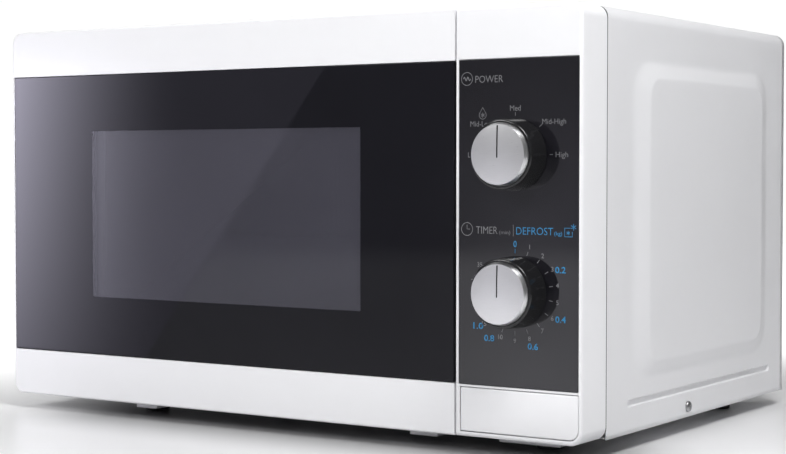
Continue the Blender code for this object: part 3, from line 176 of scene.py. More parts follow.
@dataclass
class Shape:
    """Surfaces gathered for one mesh.

    Attributes:
        points: Arrays of points.
        faces: Arrays of four-sided faces.
        polygons: Other faces.
        count: Number of points so far.
    """

    points: list[np.ndarray] = field(default_factory=list)
    faces: list[np.ndarray] = field(default_factory=list)
    polygons: list[list[int]] = field(default_factory=list)
    count: int = 0

    def grid(self, points: np.ndarray, round_rows: bool = False, round_columns: bool = False) -> "Shape":
        """Adds a surface whose points are a function of two parameters, row and column.

        Args:
            points: Array of rows by columns by three coordinates.
            round_rows: The last row is joined to the first.
            round_columns: The last column is joined to the first.

        Returns:
            The shape itself.
        """
        rows, columns = points.shape[:2]
        index = self.count + np.arange(rows * columns).reshape(rows, columns)
        if round_rows:
            index = np.vstack([index, index[:1]])
        if round_columns:
            index = np.hstack([index, index[:, :1]])
        quads = np.stack([index[:-1, :-1], index[:-1, 1:], index[1:, 1:], index[1:, :-1]], axis=-1)
        self.points.append(points.reshape(-1, 3))
        self.faces.append(quads.reshape(-1, 4))
        self.count += rows * columns
        return self

    def cap(self, ring: np.ndarray) -> "Shape":
        """Adds one flat face.

        Args:
            ring: Its corners in order.

        Returns:
            The shape itself.
        """
        self.points.append(ring)
        self.polygons.append(list(range(self.count, self.count + len(ring))))
        self.count += len(ring)
        return self

    def rings(self, rings: Sequence[np.ndarray], closed: bool = False) -> "Shape":
        """Joins closed rings of points in turn.

        Args:
            rings: The rings, all with the same number of points.
            closed: Joins the last ring to the first, where otherwise both get a cap.

        Returns:
            The shape itself.
        """
        self.grid(np.stack(rings), round_rows=closed, round_columns=True)
        if not closed:
            self.cap(rings[0])
            self.cap(rings[-1])
        return self

    def join(self, other: "Shape") -> "Shape":
        """Takes in another shape's surfaces.

        Args:
            other: The other shape.

        Returns:
            The shape itself.
        """
        self.points += other.points
        self.faces += [faces + self.count for faces in other.faces]
        self.polygons += [[index + self.count for index in face] for face in other.polygons]
        self.count += other.count
        return self

    def take(self, mesh: bpy.types.Mesh, points: np.ndarray | None = None) -> "Shape":
        """Takes in a mesh's faces.

        Args:
            mesh: The mesh.
            points: New places for its points, or None for its own.

        Returns:
            The shape itself.
        """
        self.points.append(read_points(mesh) if points is None else points)
        self.polygons += [[self.count + index for index in face.vertices] for face in mesh.polygons]
        self.count += len(mesh.vertices)
        return self

    def block(self, low: Point, high: Point) -> "Shape":
        """Adds a plain block, which serves as a cutter or as a rib."""
        ring = np.array([(low[0], low[2]), (high[0], low[2]), (high[0], high[2]), (low[0], high[2])])
        return self.rings([Axis.Y.place(ring, low[1]), Axis.Y.place(ring, high[1])])

    def slab(
        self,
        low: Flat,
        high: Flat,
        radii: Sequence[float],
        depths: Flat,
        edges: Flat = (0.0003, 0.0003),
        axis: Axis = Axis.Y,
    ) -> "Shape":
        """Adds a plate with rounded corners and rounded edges.

        Each ring is the outline moved in by an inset, at a depth. The pairs of inset and depth follow a
        quarter circle at both faces.

        Args:
            low: Left bottom corner of the outline.
            high: Right top corner of the outline.
            radii: The four corners' radii.
            depths: Positions of the two faces along the axis.
            edges: Radii of the rounding at the two faces.
            axis: The direction of the thickness.

        Returns:
            The shape itself.
        """
        pairs = fillet(0.0, depths[0], edges[0], 1) + fillet(0.0, depths[1], edges[1], -1)[::-1]
        rings = [axis.place(rounded_rectangle(low, high, radii, inset), depth) for inset, depth in pairs]
        return self.rings(rings)

    def turned(self, profile: Sequence[Flat], centre: Point, axis: Axis = Axis.Z, steps: int = 64) -> "Shape":
        """Adds a turned body: every profile point (radius, depth) goes round the axis through the centre.

        Args:
            profile: Points from the axis, down the outside and back to the axis, or round a ring's section.
            centre: Where depth is 0.
            axis: The axis of the turning.
            steps: Parts in the full circle.

        Returns:
            The shape itself.
        """
        radius, depth = np.array(profile, float).T
        angle = np.linspace(0, 2 * math.pi, steps, endpoint=False)
        circle = np.stack([np.cos(angle), np.sin(angle)], axis=-1)
        points = axis.place(radius[:, None, None] * circle[None], np.repeat(depth[:, None], steps, axis=1))
        ring = profile[0][0] > 0.00002 and profile[-1][0] > 0.00002
        return self.grid(points + np.array(centre), round_rows=ring, round_columns=True)

    def mesh(self, name: str, angle: float = SMOOTH_LIMIT, outwards: bool = True) -> bpy.types.Mesh:
        """Makes the mesh: merges doubles, turns faces outwards and keeps the sharper edges sharp.

        Args:
            name: The mesh's name.
            angle: Smoothing limit in degrees.
            outwards: Whether normals are recalculated, which a closed body needs.

        Returns:
            The new mesh.
        """
        mesh = bpy.data.meshes.new(name)
        quads = np.concatenate(self.faces).tolist() if self.faces else []
        mesh.from_pydata(np.concatenate(self.points), [], quads + self.polygons)
        built = bmesh.new()
        built.from_mesh(mesh)
        bmesh.ops.remove_doubles(built, verts=built.verts, dist=MERGE)
        bmesh.ops.dissolve_degenerate(built, edges=built.edges, dist=SLIVER)
        if outwards:
            bmesh.ops.recalc_face_normals(built, faces=built.faces)
        built.to_mesh(mesh)
        built.free()
        return shaded(mesh, angle)


def carved(name: str, solid: Shape, *cutters: Shape) -> bpy.types.Mesh:
    """Takes the cutters' volumes out of a closed shape with exact Boolean differences.

    Args:
        name: The new mesh's name.
        solid: The shape to cut.
        cutters: Closed shapes.

    Returns:
        The new mesh.
    """
    scene = bpy.context.scene
    body = bpy.data.objects.new("carving", solid.mesh("carving"))
    scene.collection.objects.link(body)
    tools = []
    for cutter in cutters:
        tool = bpy.data.objects.new("cutter", cutter.mesh("cutter"))
        scene.collection.objects.link(tool)
        cut = body.modifiers.new("cut", "BOOLEAN")
        cut.operation = "DIFFERENCE"
        cut.solver = "EXACT"
        cut.object = tool
        tools.append(tool)
    made = bpy.data.meshes.new_from_object(body.evaluated_get(bpy.context.evaluated_depsgraph_get()))
    for spent in (body, *tools):
        bpy.data.objects.remove(spent)
    made.name = name
    return shaded(made)


# ---------------------------------------------------------------- shader groups and finishes
class Nodes:
    """A short hand for building a shader node tree."""

    def __init__(self, tree: bpy.types.NodeTree) -> None:
        """Works on the given tree."""
        self.tree = tree

    def add(self, kind: str, **values: object) -> bpy.types.Node:
        """Adds a node.

        Args:
            kind: The node's type.
            values: Values for its properties, or else for its input sockets, by name.

        Returns:
            The node.
        """
        node = self.tree.nodes.new(kind)
        for key, value in values.items():
            if hasattr(node, key):
                setattr(node, key, value)
            else:
                node.inputs[key.replace("_", " ")].default_value = value
        return node

    def link(self, source: bpy.types.NodeSocket, target: bpy.types.NodeSocket) -> None:
        """Connects two sockets."""
        self.tree.links.new(source, target)

    def math(self, operation: str, *terms: bpy.types.NodeSocket | float) -> bpy.types.NodeSocket:
        """Adds a Math node whose terms are sockets or numbers.

        Args:
            operation: The node's operation, such as MULTIPLY.
            terms: Its inputs in order.

        Returns:
            The result's socket.
        """
        node = self.tree.nodes.new("ShaderNodeMath")
        node.operation = operation
        for place, term in zip(node.inputs, terms):
            if isinstance(term, (int, float)):
                place.default_value = term
            else:
                self.link(term, place)
        return node.outputs[0]

    def split(self, vector: bpy.types.NodeSocket) -> Sequence[bpy.types.NodeSocket]:
        """Splits a vector into its three coordinates.

        Args:
            vector: The vector's socket.

        Returns:
            The coordinates' sockets.
        """
        node = self.add("ShaderNodeSeparateXYZ")
        self.link(vector, node.inputs[0])
        return node.outputs

    def eased_length(
        self, vector: bpy.types.NodeSocket, span: Flat, result: Flat = (0.0, 1.0)
    ) -> bpy.types.NodeSocket:
        """Turns a vector's length into a value that eases from one number to another over a span.

        Args:
            vector: The vector's socket.
            span: Lengths at which the value starts and ends.
            result: The value there.

        Returns:
            The value's socket.
        """
        length = self.add("ShaderNodeVectorMath", operation="LENGTH")
        self.link(vector, length.inputs[0])
        eased = self.add(
            "ShaderNodeMapRange", interpolation_type="SMOOTHSTEP",
            From_Min=span[0], From_Max=span[1], To_Min=result[0], To_Max=result[1],
        )
        self.link(length.outputs["Value"], eased.inputs["Value"])
        return eased.outputs[0]

    def object_point(
        self, centre: Point = (0.0, 0.0, 0.0), scale: Point = (1.0, 1.0, 1.0)
    ) -> bpy.types.NodeSocket:
        """Object coordinates, moved so that the centre is at zero and then scaled.

        Args:
            centre: The point that comes to zero.
            scale: Factor for each coordinate.

        Returns:
            The point's socket.
        """
        place = self.add("ShaderNodeTexCoord").outputs["Object"]
        moved = self.add("ShaderNodeVectorMath", operation="SUBTRACT")
        moved.inputs[1].default_value = centre
        scaled = self.add("ShaderNodeVectorMath", operation="MULTIPLY")
        scaled.inputs[1].default_value = scale
        self.link(place, moved.inputs[0])
        self.link(moved.outputs[0], scaled.inputs[0])
        return scaled.outputs[0]


def new_group(
    name: str, inputs: dict[str, float], outputs: Sequence[str]
) -> tuple[Nodes, bpy.types.Node, bpy.types.Node]:
    """Makes a shader node group with float sockets.

    Args:
        name: The group's name.
        inputs: Names and default values of its inputs.
        outputs: Names of its outputs.

    Returns:
        A builder for its tree, its input node and its output node.
    """
    tree = bpy.data.node_groups.new(name, "ShaderNodeTree")
    for key, value in inputs.items():
        tree.interface.new_socket(key, in_out="INPUT", socket_type="NodeSocketFloat").default_value = value
    for key in outputs:
        tree.interface.new_socket(key, in_out="OUTPUT", socket_type="NodeSocketFloat")
    return Nodes(tree), tree.nodes.new("NodeGroupInput"), tree.nodes.new("NodeGroupOutput")


@cache
def grain_group() -> bpy.types.NodeTree:
    """A surface's fine grain and its slow change of tone, both noise in object coordinates, from 0 to 1.

    Returns:
        The group, built once.
    """
    sizes = {"Grain Size": 0.0008, "Tone Size": 0.08}
    nodes, given, result = new_group("surface_grain", sizes, ("Grain", "Tone"))
    place = nodes.add("ShaderNodeTexCoord").outputs["Object"]
    for size, detail, output in (("Grain Size", 2.0, "Grain"), ("Tone Size", 3.0, "Tone")):
        noise = nodes.add("ShaderNodeTexNoise", Detail=detail, Roughness=0.55)
        nodes.link(place, noise.inputs["Vector"])
        nodes.link(nodes.math("DIVIDE", 1.0, given.outputs[size]), noise.inputs["Scale"])
        nodes.link(noise.outputs[0], result.inputs[output])
    return nodes.tree


@cache
def brushing_group() -> bpy.types.NodeTree:
    """Brush lines along X: noise that is stretched a hundredfold in that direction, from 0 to 1.

    Returns:
        The group, built once.
    """
    nodes, given, result = new_group("brushing", {"Line Width": 0.0002}, ("Lines",))
    stretched = nodes.object_point(scale=(0.01, 1.0, 1.0))
    noise = nodes.add("ShaderNodeTexNoise", Detail=3.0, Roughness=0.6)
    nodes.link(stretched, noise.inputs["Vector"])
    nodes.link(nodes.math("DIVIDE", 1.0, given.outputs["Line Width"]), noise.inputs["Scale"])
    nodes.link(noise.outputs[0], result.inputs["Lines"])
    return nodes.tree


@cache
def perforation_group() -> bpy.types.NodeTree:
    """Round holes in staggered rows on the XZ plane: 1 inside a hole and 0 on the metal.

    A point's row is its height over the row spacing, rounded; odd rows are moved by half a pitch. The point
    is in a hole where its distance to the nearest centre in its row is under the radius.

    Returns:
        The group, built once.
    """
    nodes, given, result = new_group("perforation", {"Pitch": 0.0016, "Radius": 0.00055}, ("Hole",))
    pitch = given.outputs["Pitch"]
    x, _, z = nodes.split(nodes.object_point())
    spacing = nodes.math("MULTIPLY", pitch, math.sqrt(3) / 2)
    row = nodes.math("ROUND", nodes.math("DIVIDE", z, spacing))
    up = nodes.math("SUBTRACT", z, nodes.math("MULTIPLY", row, spacing))
    odd = nodes.math("FLOORED_MODULO", row, 2.0)
    half = nodes.math("MULTIPLY", pitch, 0.5)
    shifted = nodes.math("SUBTRACT", x, nodes.math("MULTIPLY", odd, half))
    column = nodes.math("ROUND", nodes.math("DIVIDE", shifted, pitch))
    side = nodes.math("SUBTRACT", shifted, nodes.math("MULTIPLY", column, pitch))
    squares = nodes.math("ADD", nodes.math("MULTIPLY", up, up), nodes.math("MULTIPLY", side, side))
    inside = nodes.math("LESS_THAN", nodes.math("SQRT", squares), given.outputs["Radius"])
    nodes.link(inside, result.inputs["Hole"])
    return nodes.tree


@dataclass(frozen=True)
class Finish:
    """A surface finish: paint, moulded plastic, rubber or metal.

    Attributes:
        name: Material name.
        colour: Mean base colour, linear.
        roughness: Mean roughness.
        metallic: 1 for bare metal.
        grain: Size of the fine grain.
        height: Depth of the grain.
        tone: Share by which the colour changes slowly over the surface.
        spread: Amount by which the roughness changes.
        tone_size: Size of the slow changes.
        coat: Weight of a clear coat.
        specular: Specular level.
        slot: The record's material slot; not used.
    """

    name: str
    colour: Colour
    roughness: float
    metallic: float = 0.0
    grain: float = 0.0008
    height: float = 0.00002
    tone: float = 0.04
    spread: float = 0.06
    tone_size: float = 0.06
    coat: float = 0.0
    specular: float = 0.5
    slot: str = ""

    def start(self) -> tuple[bpy.types.Material, Nodes, bpy.types.Node]:
        """Makes the material with its constant values on the shader's own sockets.

        Returns:
            The material, a builder for its tree and its Principled BSDF.
        """
        made = bpy.data.materials.new(self.name)
        made.use_nodes = True
        shader = made.node_tree.nodes["Principled BSDF"]
        for name, value in (
            ("Metallic", self.metallic), ("Coat Weight", self.coat), ("Coat Roughness", 0.05),
            ("Specular IOR Level", self.specular),
        ):
            shader.inputs[name].default_value = value
        made.diffuse_color = (*self.colour, 1.0)
        return made, Nodes(made.node_tree), shader

    def tones(
        self, nodes: Nodes, shader: bpy.types.Node, factor: bpy.types.NodeSocket, low: float, high: float
    ) -> None:
        """Lets the shader's colour go from one share of the finish's colour to another.

        Args:
            nodes: Builder for the material's tree.
            shader: Its Principled BSDF.
            factor: Where the colour is between the two, from 0 to 1.
            low: Share at 0.
            high: Share at 1; no channel goes over 1.
        """
        mix = nodes.add("ShaderNodeMix", data_type="RGBA")
        for place, share in ((mix.inputs[6], low), (mix.inputs[7], high)):
            place.default_value = (*(min(channel * share, 1.0) for channel in self.colour), 1.0)
        nodes.link(factor, mix.inputs[0])
        nodes.link(mix.outputs[2], shader.inputs["Base Color"])

    def vary(self, nodes: Nodes, shader: bpy.types.Node, factor: bpy.types.NodeSocket) -> None:
        """Lets colour and roughness follow a factor from 0 to 1.

        Args:
            nodes: Builder for the material's tree.
            shader: Its Principled BSDF.
            factor: The factor's socket.
        """
        self.tones(nodes, shader, factor, 1 - self.tone, 1 + self.tone)
        rough = nodes.math("MULTIPLY_ADD", factor, self.spread, self.roughness - self.spread / 2)
        nodes.link(rough, shader.inputs["Roughness"])

    def base(self, nodes: Nodes, shader: bpy.types.Node) -> bpy.types.NodeSocket:
        """Adds the grain: tone into the colour and the roughness, grain into the bump.

        Args:
            nodes: Builder for the material's tree.
            shader: Its Principled BSDF.

        Returns:
            The grain's height, for a finish that goes on from it.
        """
        group = nodes.add("ShaderNodeGroup", node_tree=grain_group())
        group.inputs["Grain Size"].default_value = self.grain
        group.inputs["Tone Size"].default_value = self.tone_size
        self.vary(nodes, shader, group.outputs["Tone"])
        self.bump(nodes, shader, group.outputs["Grain"])
        return group.outputs["Grain"]

    def bump(self, nodes: Nodes, shader: bpy.types.Node, height: bpy.types.NodeSocket) -> None:
        """Feeds a height into the shader's normal.

        Args:
            nodes: Builder for the material's tree.
            shader: Its Principled BSDF.
            height: The height's socket, from 0 to 1.
        """
        bump = nodes.add("ShaderNodeBump", Strength=1.0, Distance=self.height)
        nodes.link(height, bump.inputs["Height"])
        nodes.link(bump.outputs[0], shader.inputs["Normal"])

    def special(self, nodes: Nodes, shader: bpy.types.Node) -> None:
        """Adds what one kind of finish has beyond its constant values: here the grain."""
        self.base(nodes, shader)

    def build(self) -> bpy.types.Material:
        """Makes the material.

        Returns:
            The new material.
        """
        made, nodes, shader = self.start()
        self.special(nodes, shader)
        return made


@dataclass(frozen=True)
class Brushed(Finish):
    """Metal with brush lines along X.

    Attributes:
        line: Width of a line.
    """

    line: float = 0.00015

    def special(self, nodes: Nodes, shader: bpy.types.Node) -> None:
        """Lets the lines change the colour, the roughness and the height.

        Args:
            nodes: Builder for the material's tree.
            shader: Its Principled BSDF.
        """
        lines = nodes.add("ShaderNodeGroup", node_tree=brushing_group())
        lines.inputs["Line Width"].default_value = self.line
        self.vary(nodes, shader, lines.outputs[0])
        self.bump(nodes, shader, lines.outputs[0])


@dataclass(frozen=True)
class Perforated(Finish):
    """Painted sheet with rows of small holes inside one rectangle of the XZ plane.

    Attributes:
        pitch: Distance of two holes in a row.
        radius: A hole's radius.
        low: The rectangle's low corner, x and z.
        high: Its high corner.
    """

    pitch: float = 0.0016
    radius: float = 0.00055
    low: Flat = (-0.1, 0.1)
    high: Flat = (0.1, 0.2)

    def special(self, nodes: Nodes, shader: bpy.types.Node) -> None:
        """Makes alpha 0 where the point is in a hole and inside the rectangle.

        Args:
            nodes: Builder for the material's tree.
            shader: Its Principled BSDF.
        """
        self.base(nodes, shader)
        holes = nodes.add("ShaderNodeGroup", node_tree=perforation_group())
        holes.inputs["Pitch"].default_value = self.pitch
        holes.inputs["Radius"].default_value = self.radius
        x, _, z = nodes.split(nodes.object_point())
        mask = holes.outputs["Hole"]
        for socket, low, high in zip((x, z), self.low, self.high):
            mask = nodes.math("MULTIPLY", mask, nodes.math("GREATER_THAN", socket, low))
            mask = nodes.math("MULTIPLY", mask, nodes.math("LESS_THAN", socket, high))
        nodes.link(nodes.math("SUBTRACT", 1.0, mask), shader.inputs["Alpha"])


@dataclass(frozen=True)
class Glass(Finish):
    """Glass: refracting with full transmission, or a thin pane that lets light straight through.

    Attributes:
        transmission: Weight of the refraction.
        ior: Index of refraction.
        alpha: Share of the light that the surface takes up.
    """

    transmission: float = 0.0
    ior: float = 1.5
    alpha: float = 1.0

    def special(self, nodes: Nodes, shader: bpy.types.Node) -> None:
        """Adds a faint waviness and the values for light that passes.

        Args:
            nodes: Builder for the material's tree.
            shader: Its Principled BSDF.
        """
        self.base(nodes, shader)
        shader.inputs["Transmission Weight"].default_value = self.transmission
        shader.inputs["IOR"].default_value = self.ior
        shader.inputs["Alpha"].default_value = self.alpha


@dataclass(frozen=True)
class Layered(Finish):
    """Laminations or windings: fine stripes across one axis.

    Attributes:
        stripe: Width of a stripe with its joint.
        across: The axis that the stripes follow each other along.
        joint: Share of the colour that is left in a joint.
        mottle: Share of the grain in the height.
    """

    stripe: float = 0.0006
    across: Axis = Axis.Y
    joint: float = 0.35
    mottle: float = 0.2

    def special(self, nodes: Nodes, shader: bpy.types.Node) -> None:
        """Lets a sine of the position over the stripe's width darken the joints and give the height.

        Args:
            nodes: Builder for the material's tree.
            shader: Its Principled BSDF.
        """
        grain = self.base(nodes, shader)
        place = nodes.split(nodes.object_point())[self.across.value[2]]
        wave = nodes.math("SINE", nodes.math("MULTIPLY", place, 2 * math.pi / self.stripe))
        stripe = nodes.math("MULTIPLY_ADD", wave, 0.5, 0.5)
        self.tones(nodes, shader, stripe, self.joint, 1.0)
        self.bump(nodes, shader, nodes.math("MULTIPLY_ADD", grain, self.mottle, stripe))


WHITE = Finish(
    "white_moulding", (0.87, 0.87, 0.89), 0.32, grain=0.0011, height=0.000004, tone=0.012, spread=0.05,
    coat=0.05, specular=0.3, slot="white_plastic",
)
PAINT = Finish(
    "white_paint", (0.80, 0.80, 0.82), 0.32, grain=0.0009, height=0.000006, tone=0.015, spread=0.08,
    specular=0.9, slot="white_painted_steel",
)
GLASS_PRINT = Finish(
    "black_glass_border", (0.0100, 0.0098, 0.0130), 0.035, grain=0.004, height=0.000001, tone=0.15,
    spread=0.02, specular=0.16, slot="door_glass_black",
)
PANE = Glass(
    "window_glass", (0.086, 0.084, 0.108), 0.035, grain=0.004, height=0.000001, tone=0.15, spread=0.02,
    specular=0.45, alpha=0.5, slot="door_glass_black",
)
FASCIA = Finish(
    "fascia_gloss", (0.0115, 0.0110, 0.0145), 0.05, grain=0.003, height=0.000001, tone=0.08,
    spread=0.03, specular=0.6, slot="fascia_black",
)
SCREEN = Perforated("perforated_screen", (0.70, 0.69, 0.74), 0.45, slot="screen_steel")
CHOKE = Finish("choke_enamel", (0.40, 0.39, 0.42), 0.45, slot="choke_black")
KNOB = Finish(
    "knob_gloss", (0.012, 0.012, 0.013), 0.16, grain=0.0012, height=0.000006, tone=0.1, spread=0.08,
    slot="knob_black",
)
CAP = Brushed(
    "brushed_cap", (0.68, 0.68, 0.69), 0.30, metallic=1.0, height=0.000004, tone=0.07, spread=0.12,
    slot="brushed_cap",
)
GALVANISED = Finish(
    "zinc_coated_steel", (0.62, 0.63, 0.64), 0.38, metallic=1.0, grain=0.006, height=0.00001, tone=0.12,
    spread=0.2, tone_size=0.012, slot="galvanised_steel",
)
SCREW_STEEL = Finish(
    "screw_steel", (0.36, 0.36, 0.37), 0.32, metallic=1.0, grain=0.0004, height=0.000004, tone=0.1,
    slot="galvanised_steel",
)
ENAMEL = Finish(
    "cavity_enamel", (0.60, 0.61, 0.62), 0.35, grain=0.0012, height=0.00002, tone=0.03, spread=0.08,
    slot="cavity_paint",
)
GREY = Finish(
    "grey_moulding", (0.10, 0.10, 0.105), 0.42, grain=0.0006, height=0.00001, tone=0.06,
    slot="grey_plastic",
)
DARK = Finish(
    "black_moulding", (0.018, 0.018, 0.019), 0.45, grain=0.0006, height=0.00001, tone=0.1,
    slot="black_plastic",
)
NATURAL = Finish(
    "natural_moulding", (0.72, 0.71, 0.67), 0.45, grain=0.0008, height=0.00001, slot="latch_plastic",
)
RUBBER = Finish(
    "foot_rubber", (0.045, 0.045, 0.047), 0.75, grain=0.0005, height=0.00003, tone=0.15,
    slot="foot_rubber",
)
SHEET_MICA = Finish(
    "mica_sheet", (0.45, 0.41, 0.33), 0.5, grain=0.0025, height=0.00002, tone=0.25, tone_size=0.006,
    slot="mica",
)
TRAY_GLASS = Glass(
    "tray_glass", (0.62, 0.70, 0.67), 0.04, grain=0.004, height=0.00003, specular=0.7, alpha=0.17,
    slot="tray_glass",
)
BULB = Glass(
    "bulb_glass", (0.96, 0.95, 0.92), 0.05, height=0.000004, transmission=1.0, ior=1.45,
    slot="bulb_glass",
)
FILM = Glass(
    "inner_window_sheet", (0.10, 0.10, 0.10), 0.06, grain=0.01, height=0.000002, alpha=0.25,
    slot="clear_film",
)
ALUMINIUM = Finish(
    "plain_aluminium", (0.76, 0.76, 0.77), 0.35, metallic=1.0, height=0.00001, tone=0.06,
    slot="aluminium",
)
CORE = Layered(
    "core_laminations", (0.16, 0.15, 0.14), 0.45, stripe=0.0007, height=0.00005, across=Axis.Y,
    slot="core_steel",
)
WINDING = Layered(
    "enamelled_windings", (0.36, 0.12, 0.035), 0.3, stripe=0.0011, height=0.0002, across=Axis.Z,
    slot="copper",
)
BOARD = Finish(
    "phenolic_board", (0.36, 0.24, 0.09), 0.5, grain=0.0009, height=0.00001, tone=0.1,
    slot="circuit_board",
)
PRINT_WHITE = Finish("white_print", (0.24, 0.24, 0.25), 0.5, height=0.000002, slot="fascia_black")
PRINT_GREY = Finish("grey_print", (0.15, 0.15, 0.16), 0.5, height=0.000002, slot="fascia_black")
PRINT_BLUE = Finish("blue_print", (0.020, 0.22, 0.46), 0.5, height=0.000002, slot="fascia_black")
FLOOR = Finish(
    "pale_floor", (0.86, 0.86, 0.87), 0.32, grain=0.02, height=0.00001, tone=0.004, spread=0.03,
    tone_size=1.5,
)


class Workshop:
    """Makes pieces, gives them a finish and links them to the scene under their body's empty."""

    @staticmethod
    @cache
    def material(finish: Finish) -> bpy.types.Material:
        """The finish's material, built once."""
        return finish.build()

    @classmethod
    def piece(
        cls,
        name: str,
        shape: Shape | bpy.types.Mesh,
        finish: Finish,
        body: str,
        *replaces: str,
        angle: float = SMOOTH_LIMIT,
    ) -> bpy.types.Object:
        """Links a shape as a piece that rides on a body.

        Args:
            name: The piece's name.
            shape: Its shape or mesh, already in place.
            finish: What it is made of.
            body: The body that it moves with.
            replaces: Solids that it stands for.
            angle: Smoothing limit of a shape, in degrees.

        Returns:
            The new object.
        """
        mesh = shape.mesh(name, angle) if isinstance(shape, Shape) else shape
        mesh.materials.clear()
        mesh.materials.append(cls.material(finish))
        made = bpy.data.objects.new(name, mesh)
        bpy.context.scene.collection.objects.link(made)
        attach(made, body)
        if replaces:
            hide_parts(*replaces)
        LOG.info("%s on %s: %d faces", name, body, len(mesh.polygons))
        return made

    @classmethod
    def eased(cls, body: str, *rows: tuple[str, str, Finish, float]) -> None:
        """Replaces solids by merged copies of them whose edges are rounded.

        Args:
            body: The body that they move with.
            rows: For each solid the new piece's name, the solid, what it is made of and the rounding's width.
        """
        for name, node, finish, width in rows:
            built = bmesh.new()
            built.from_mesh(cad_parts[node].data)
            bmesh.ops.remove_doubles(built, verts=built.verts, dist=WELD)
            flat = math.radians(1.0)
            bmesh.ops.dissolve_limit(built, angle_limit=flat, verts=built.verts, edges=built.edges)
            mesh = bpy.data.meshes.new(name)
            built.to_mesh(mesh)
            built.free()
            cls.ease(cls.piece(name, shaded(mesh), finish, body, node), width)

    @classmethod
    def ease(cls, made: bpy.types.Object, width: float) -> None:
        """Rounds a piece's sharp edges.

        Args:
            made: The piece.
            width: Width of the rounding.
        """
        bevel = made.modifiers.new("eased_edges", "BEVEL")
        bevel.width = width
        bevel.segments = 2
        bevel.limit_method = "ANGLE"
        bevel.angle_limit = math.radians(EASE_LIMIT)
        cls.flatten(made)

    @classmethod
    def flatten(cls, made: bpy.types.Object) -> None:
        """Lets a piece's flat faces shade flat."""
        made.modifiers.new("flat_faces", "WEIGHTED_NORMAL").keep_sharp = True

    @classmethod
    def paint(cls, finish: Finish, *nodes: str) -> None:
        """Gives solids that stay as they are their material.

        Args:
            finish: What they are made of.
            nodes: The solids.
        """
        for node in nodes:
            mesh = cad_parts[node].data
            mesh.materials.clear()
            mesh.materials.append(cls.material(finish))
            LOG.info("%s painted %s", node, finish.name)


def middle(node: str) -> Vector:
    """The middle of a solid's box."""
    low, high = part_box(node)
    return (low + high) / 2


# ---------------------------------------------------------------- cabinet
def spaced(*stretches: tuple[float, float]) -> np.ndarray:
    """Positions along a line in stretches of their own spacing.

    Args:
        stretches: Pairs of a stretch's start and its spacing; the last pair's start is the end of the line.

    Returns:
        The positions, rising.
    """
    parts = []
    for (start, step), (end, _) in zip(stretches[:-1], stretches[1:]):
        count = max(1, round((end - start) / step))
        parts.append(np.linspace(start, end, count, endpoint=False))
    return np.concatenate([*parts, [stretches[-1][0]]])


def inside_rounded(y: np.ndarray, z: np.ndarray, low: Flat, high: Flat, radius: float) -> np.ndarray:
    """How deep points lie inside a rounded rectangle: minus its signed distance.

    The distance is that to the rectangle shrunk by the radius, less the radius.

    Args:
        y: First coordinates.
        z: Second coordinates.
        low: Low corner.
        high: High corner.
        radius: The corners' radius.

    Returns:
        Depths, positive inside.
    """
    across = np.maximum(low[0] + radius - y, y - high[0] + radius)
    up = np.maximum(low[1] + radius - z, z - high[1] + radius)
    outside = np.hypot(np.maximum(across, 0), np.maximum(up, 0))
    return radius - outside - np.minimum(np.maximum(across, up), 0)


def smooth_step(share: np.ndarray) -> np.ndarray:
    """Eases a share from 0 to 1: three times its square less two times its cube."""
    share = np.clip(share, 0, 1)
    return share * share * (3 - 2 * share)


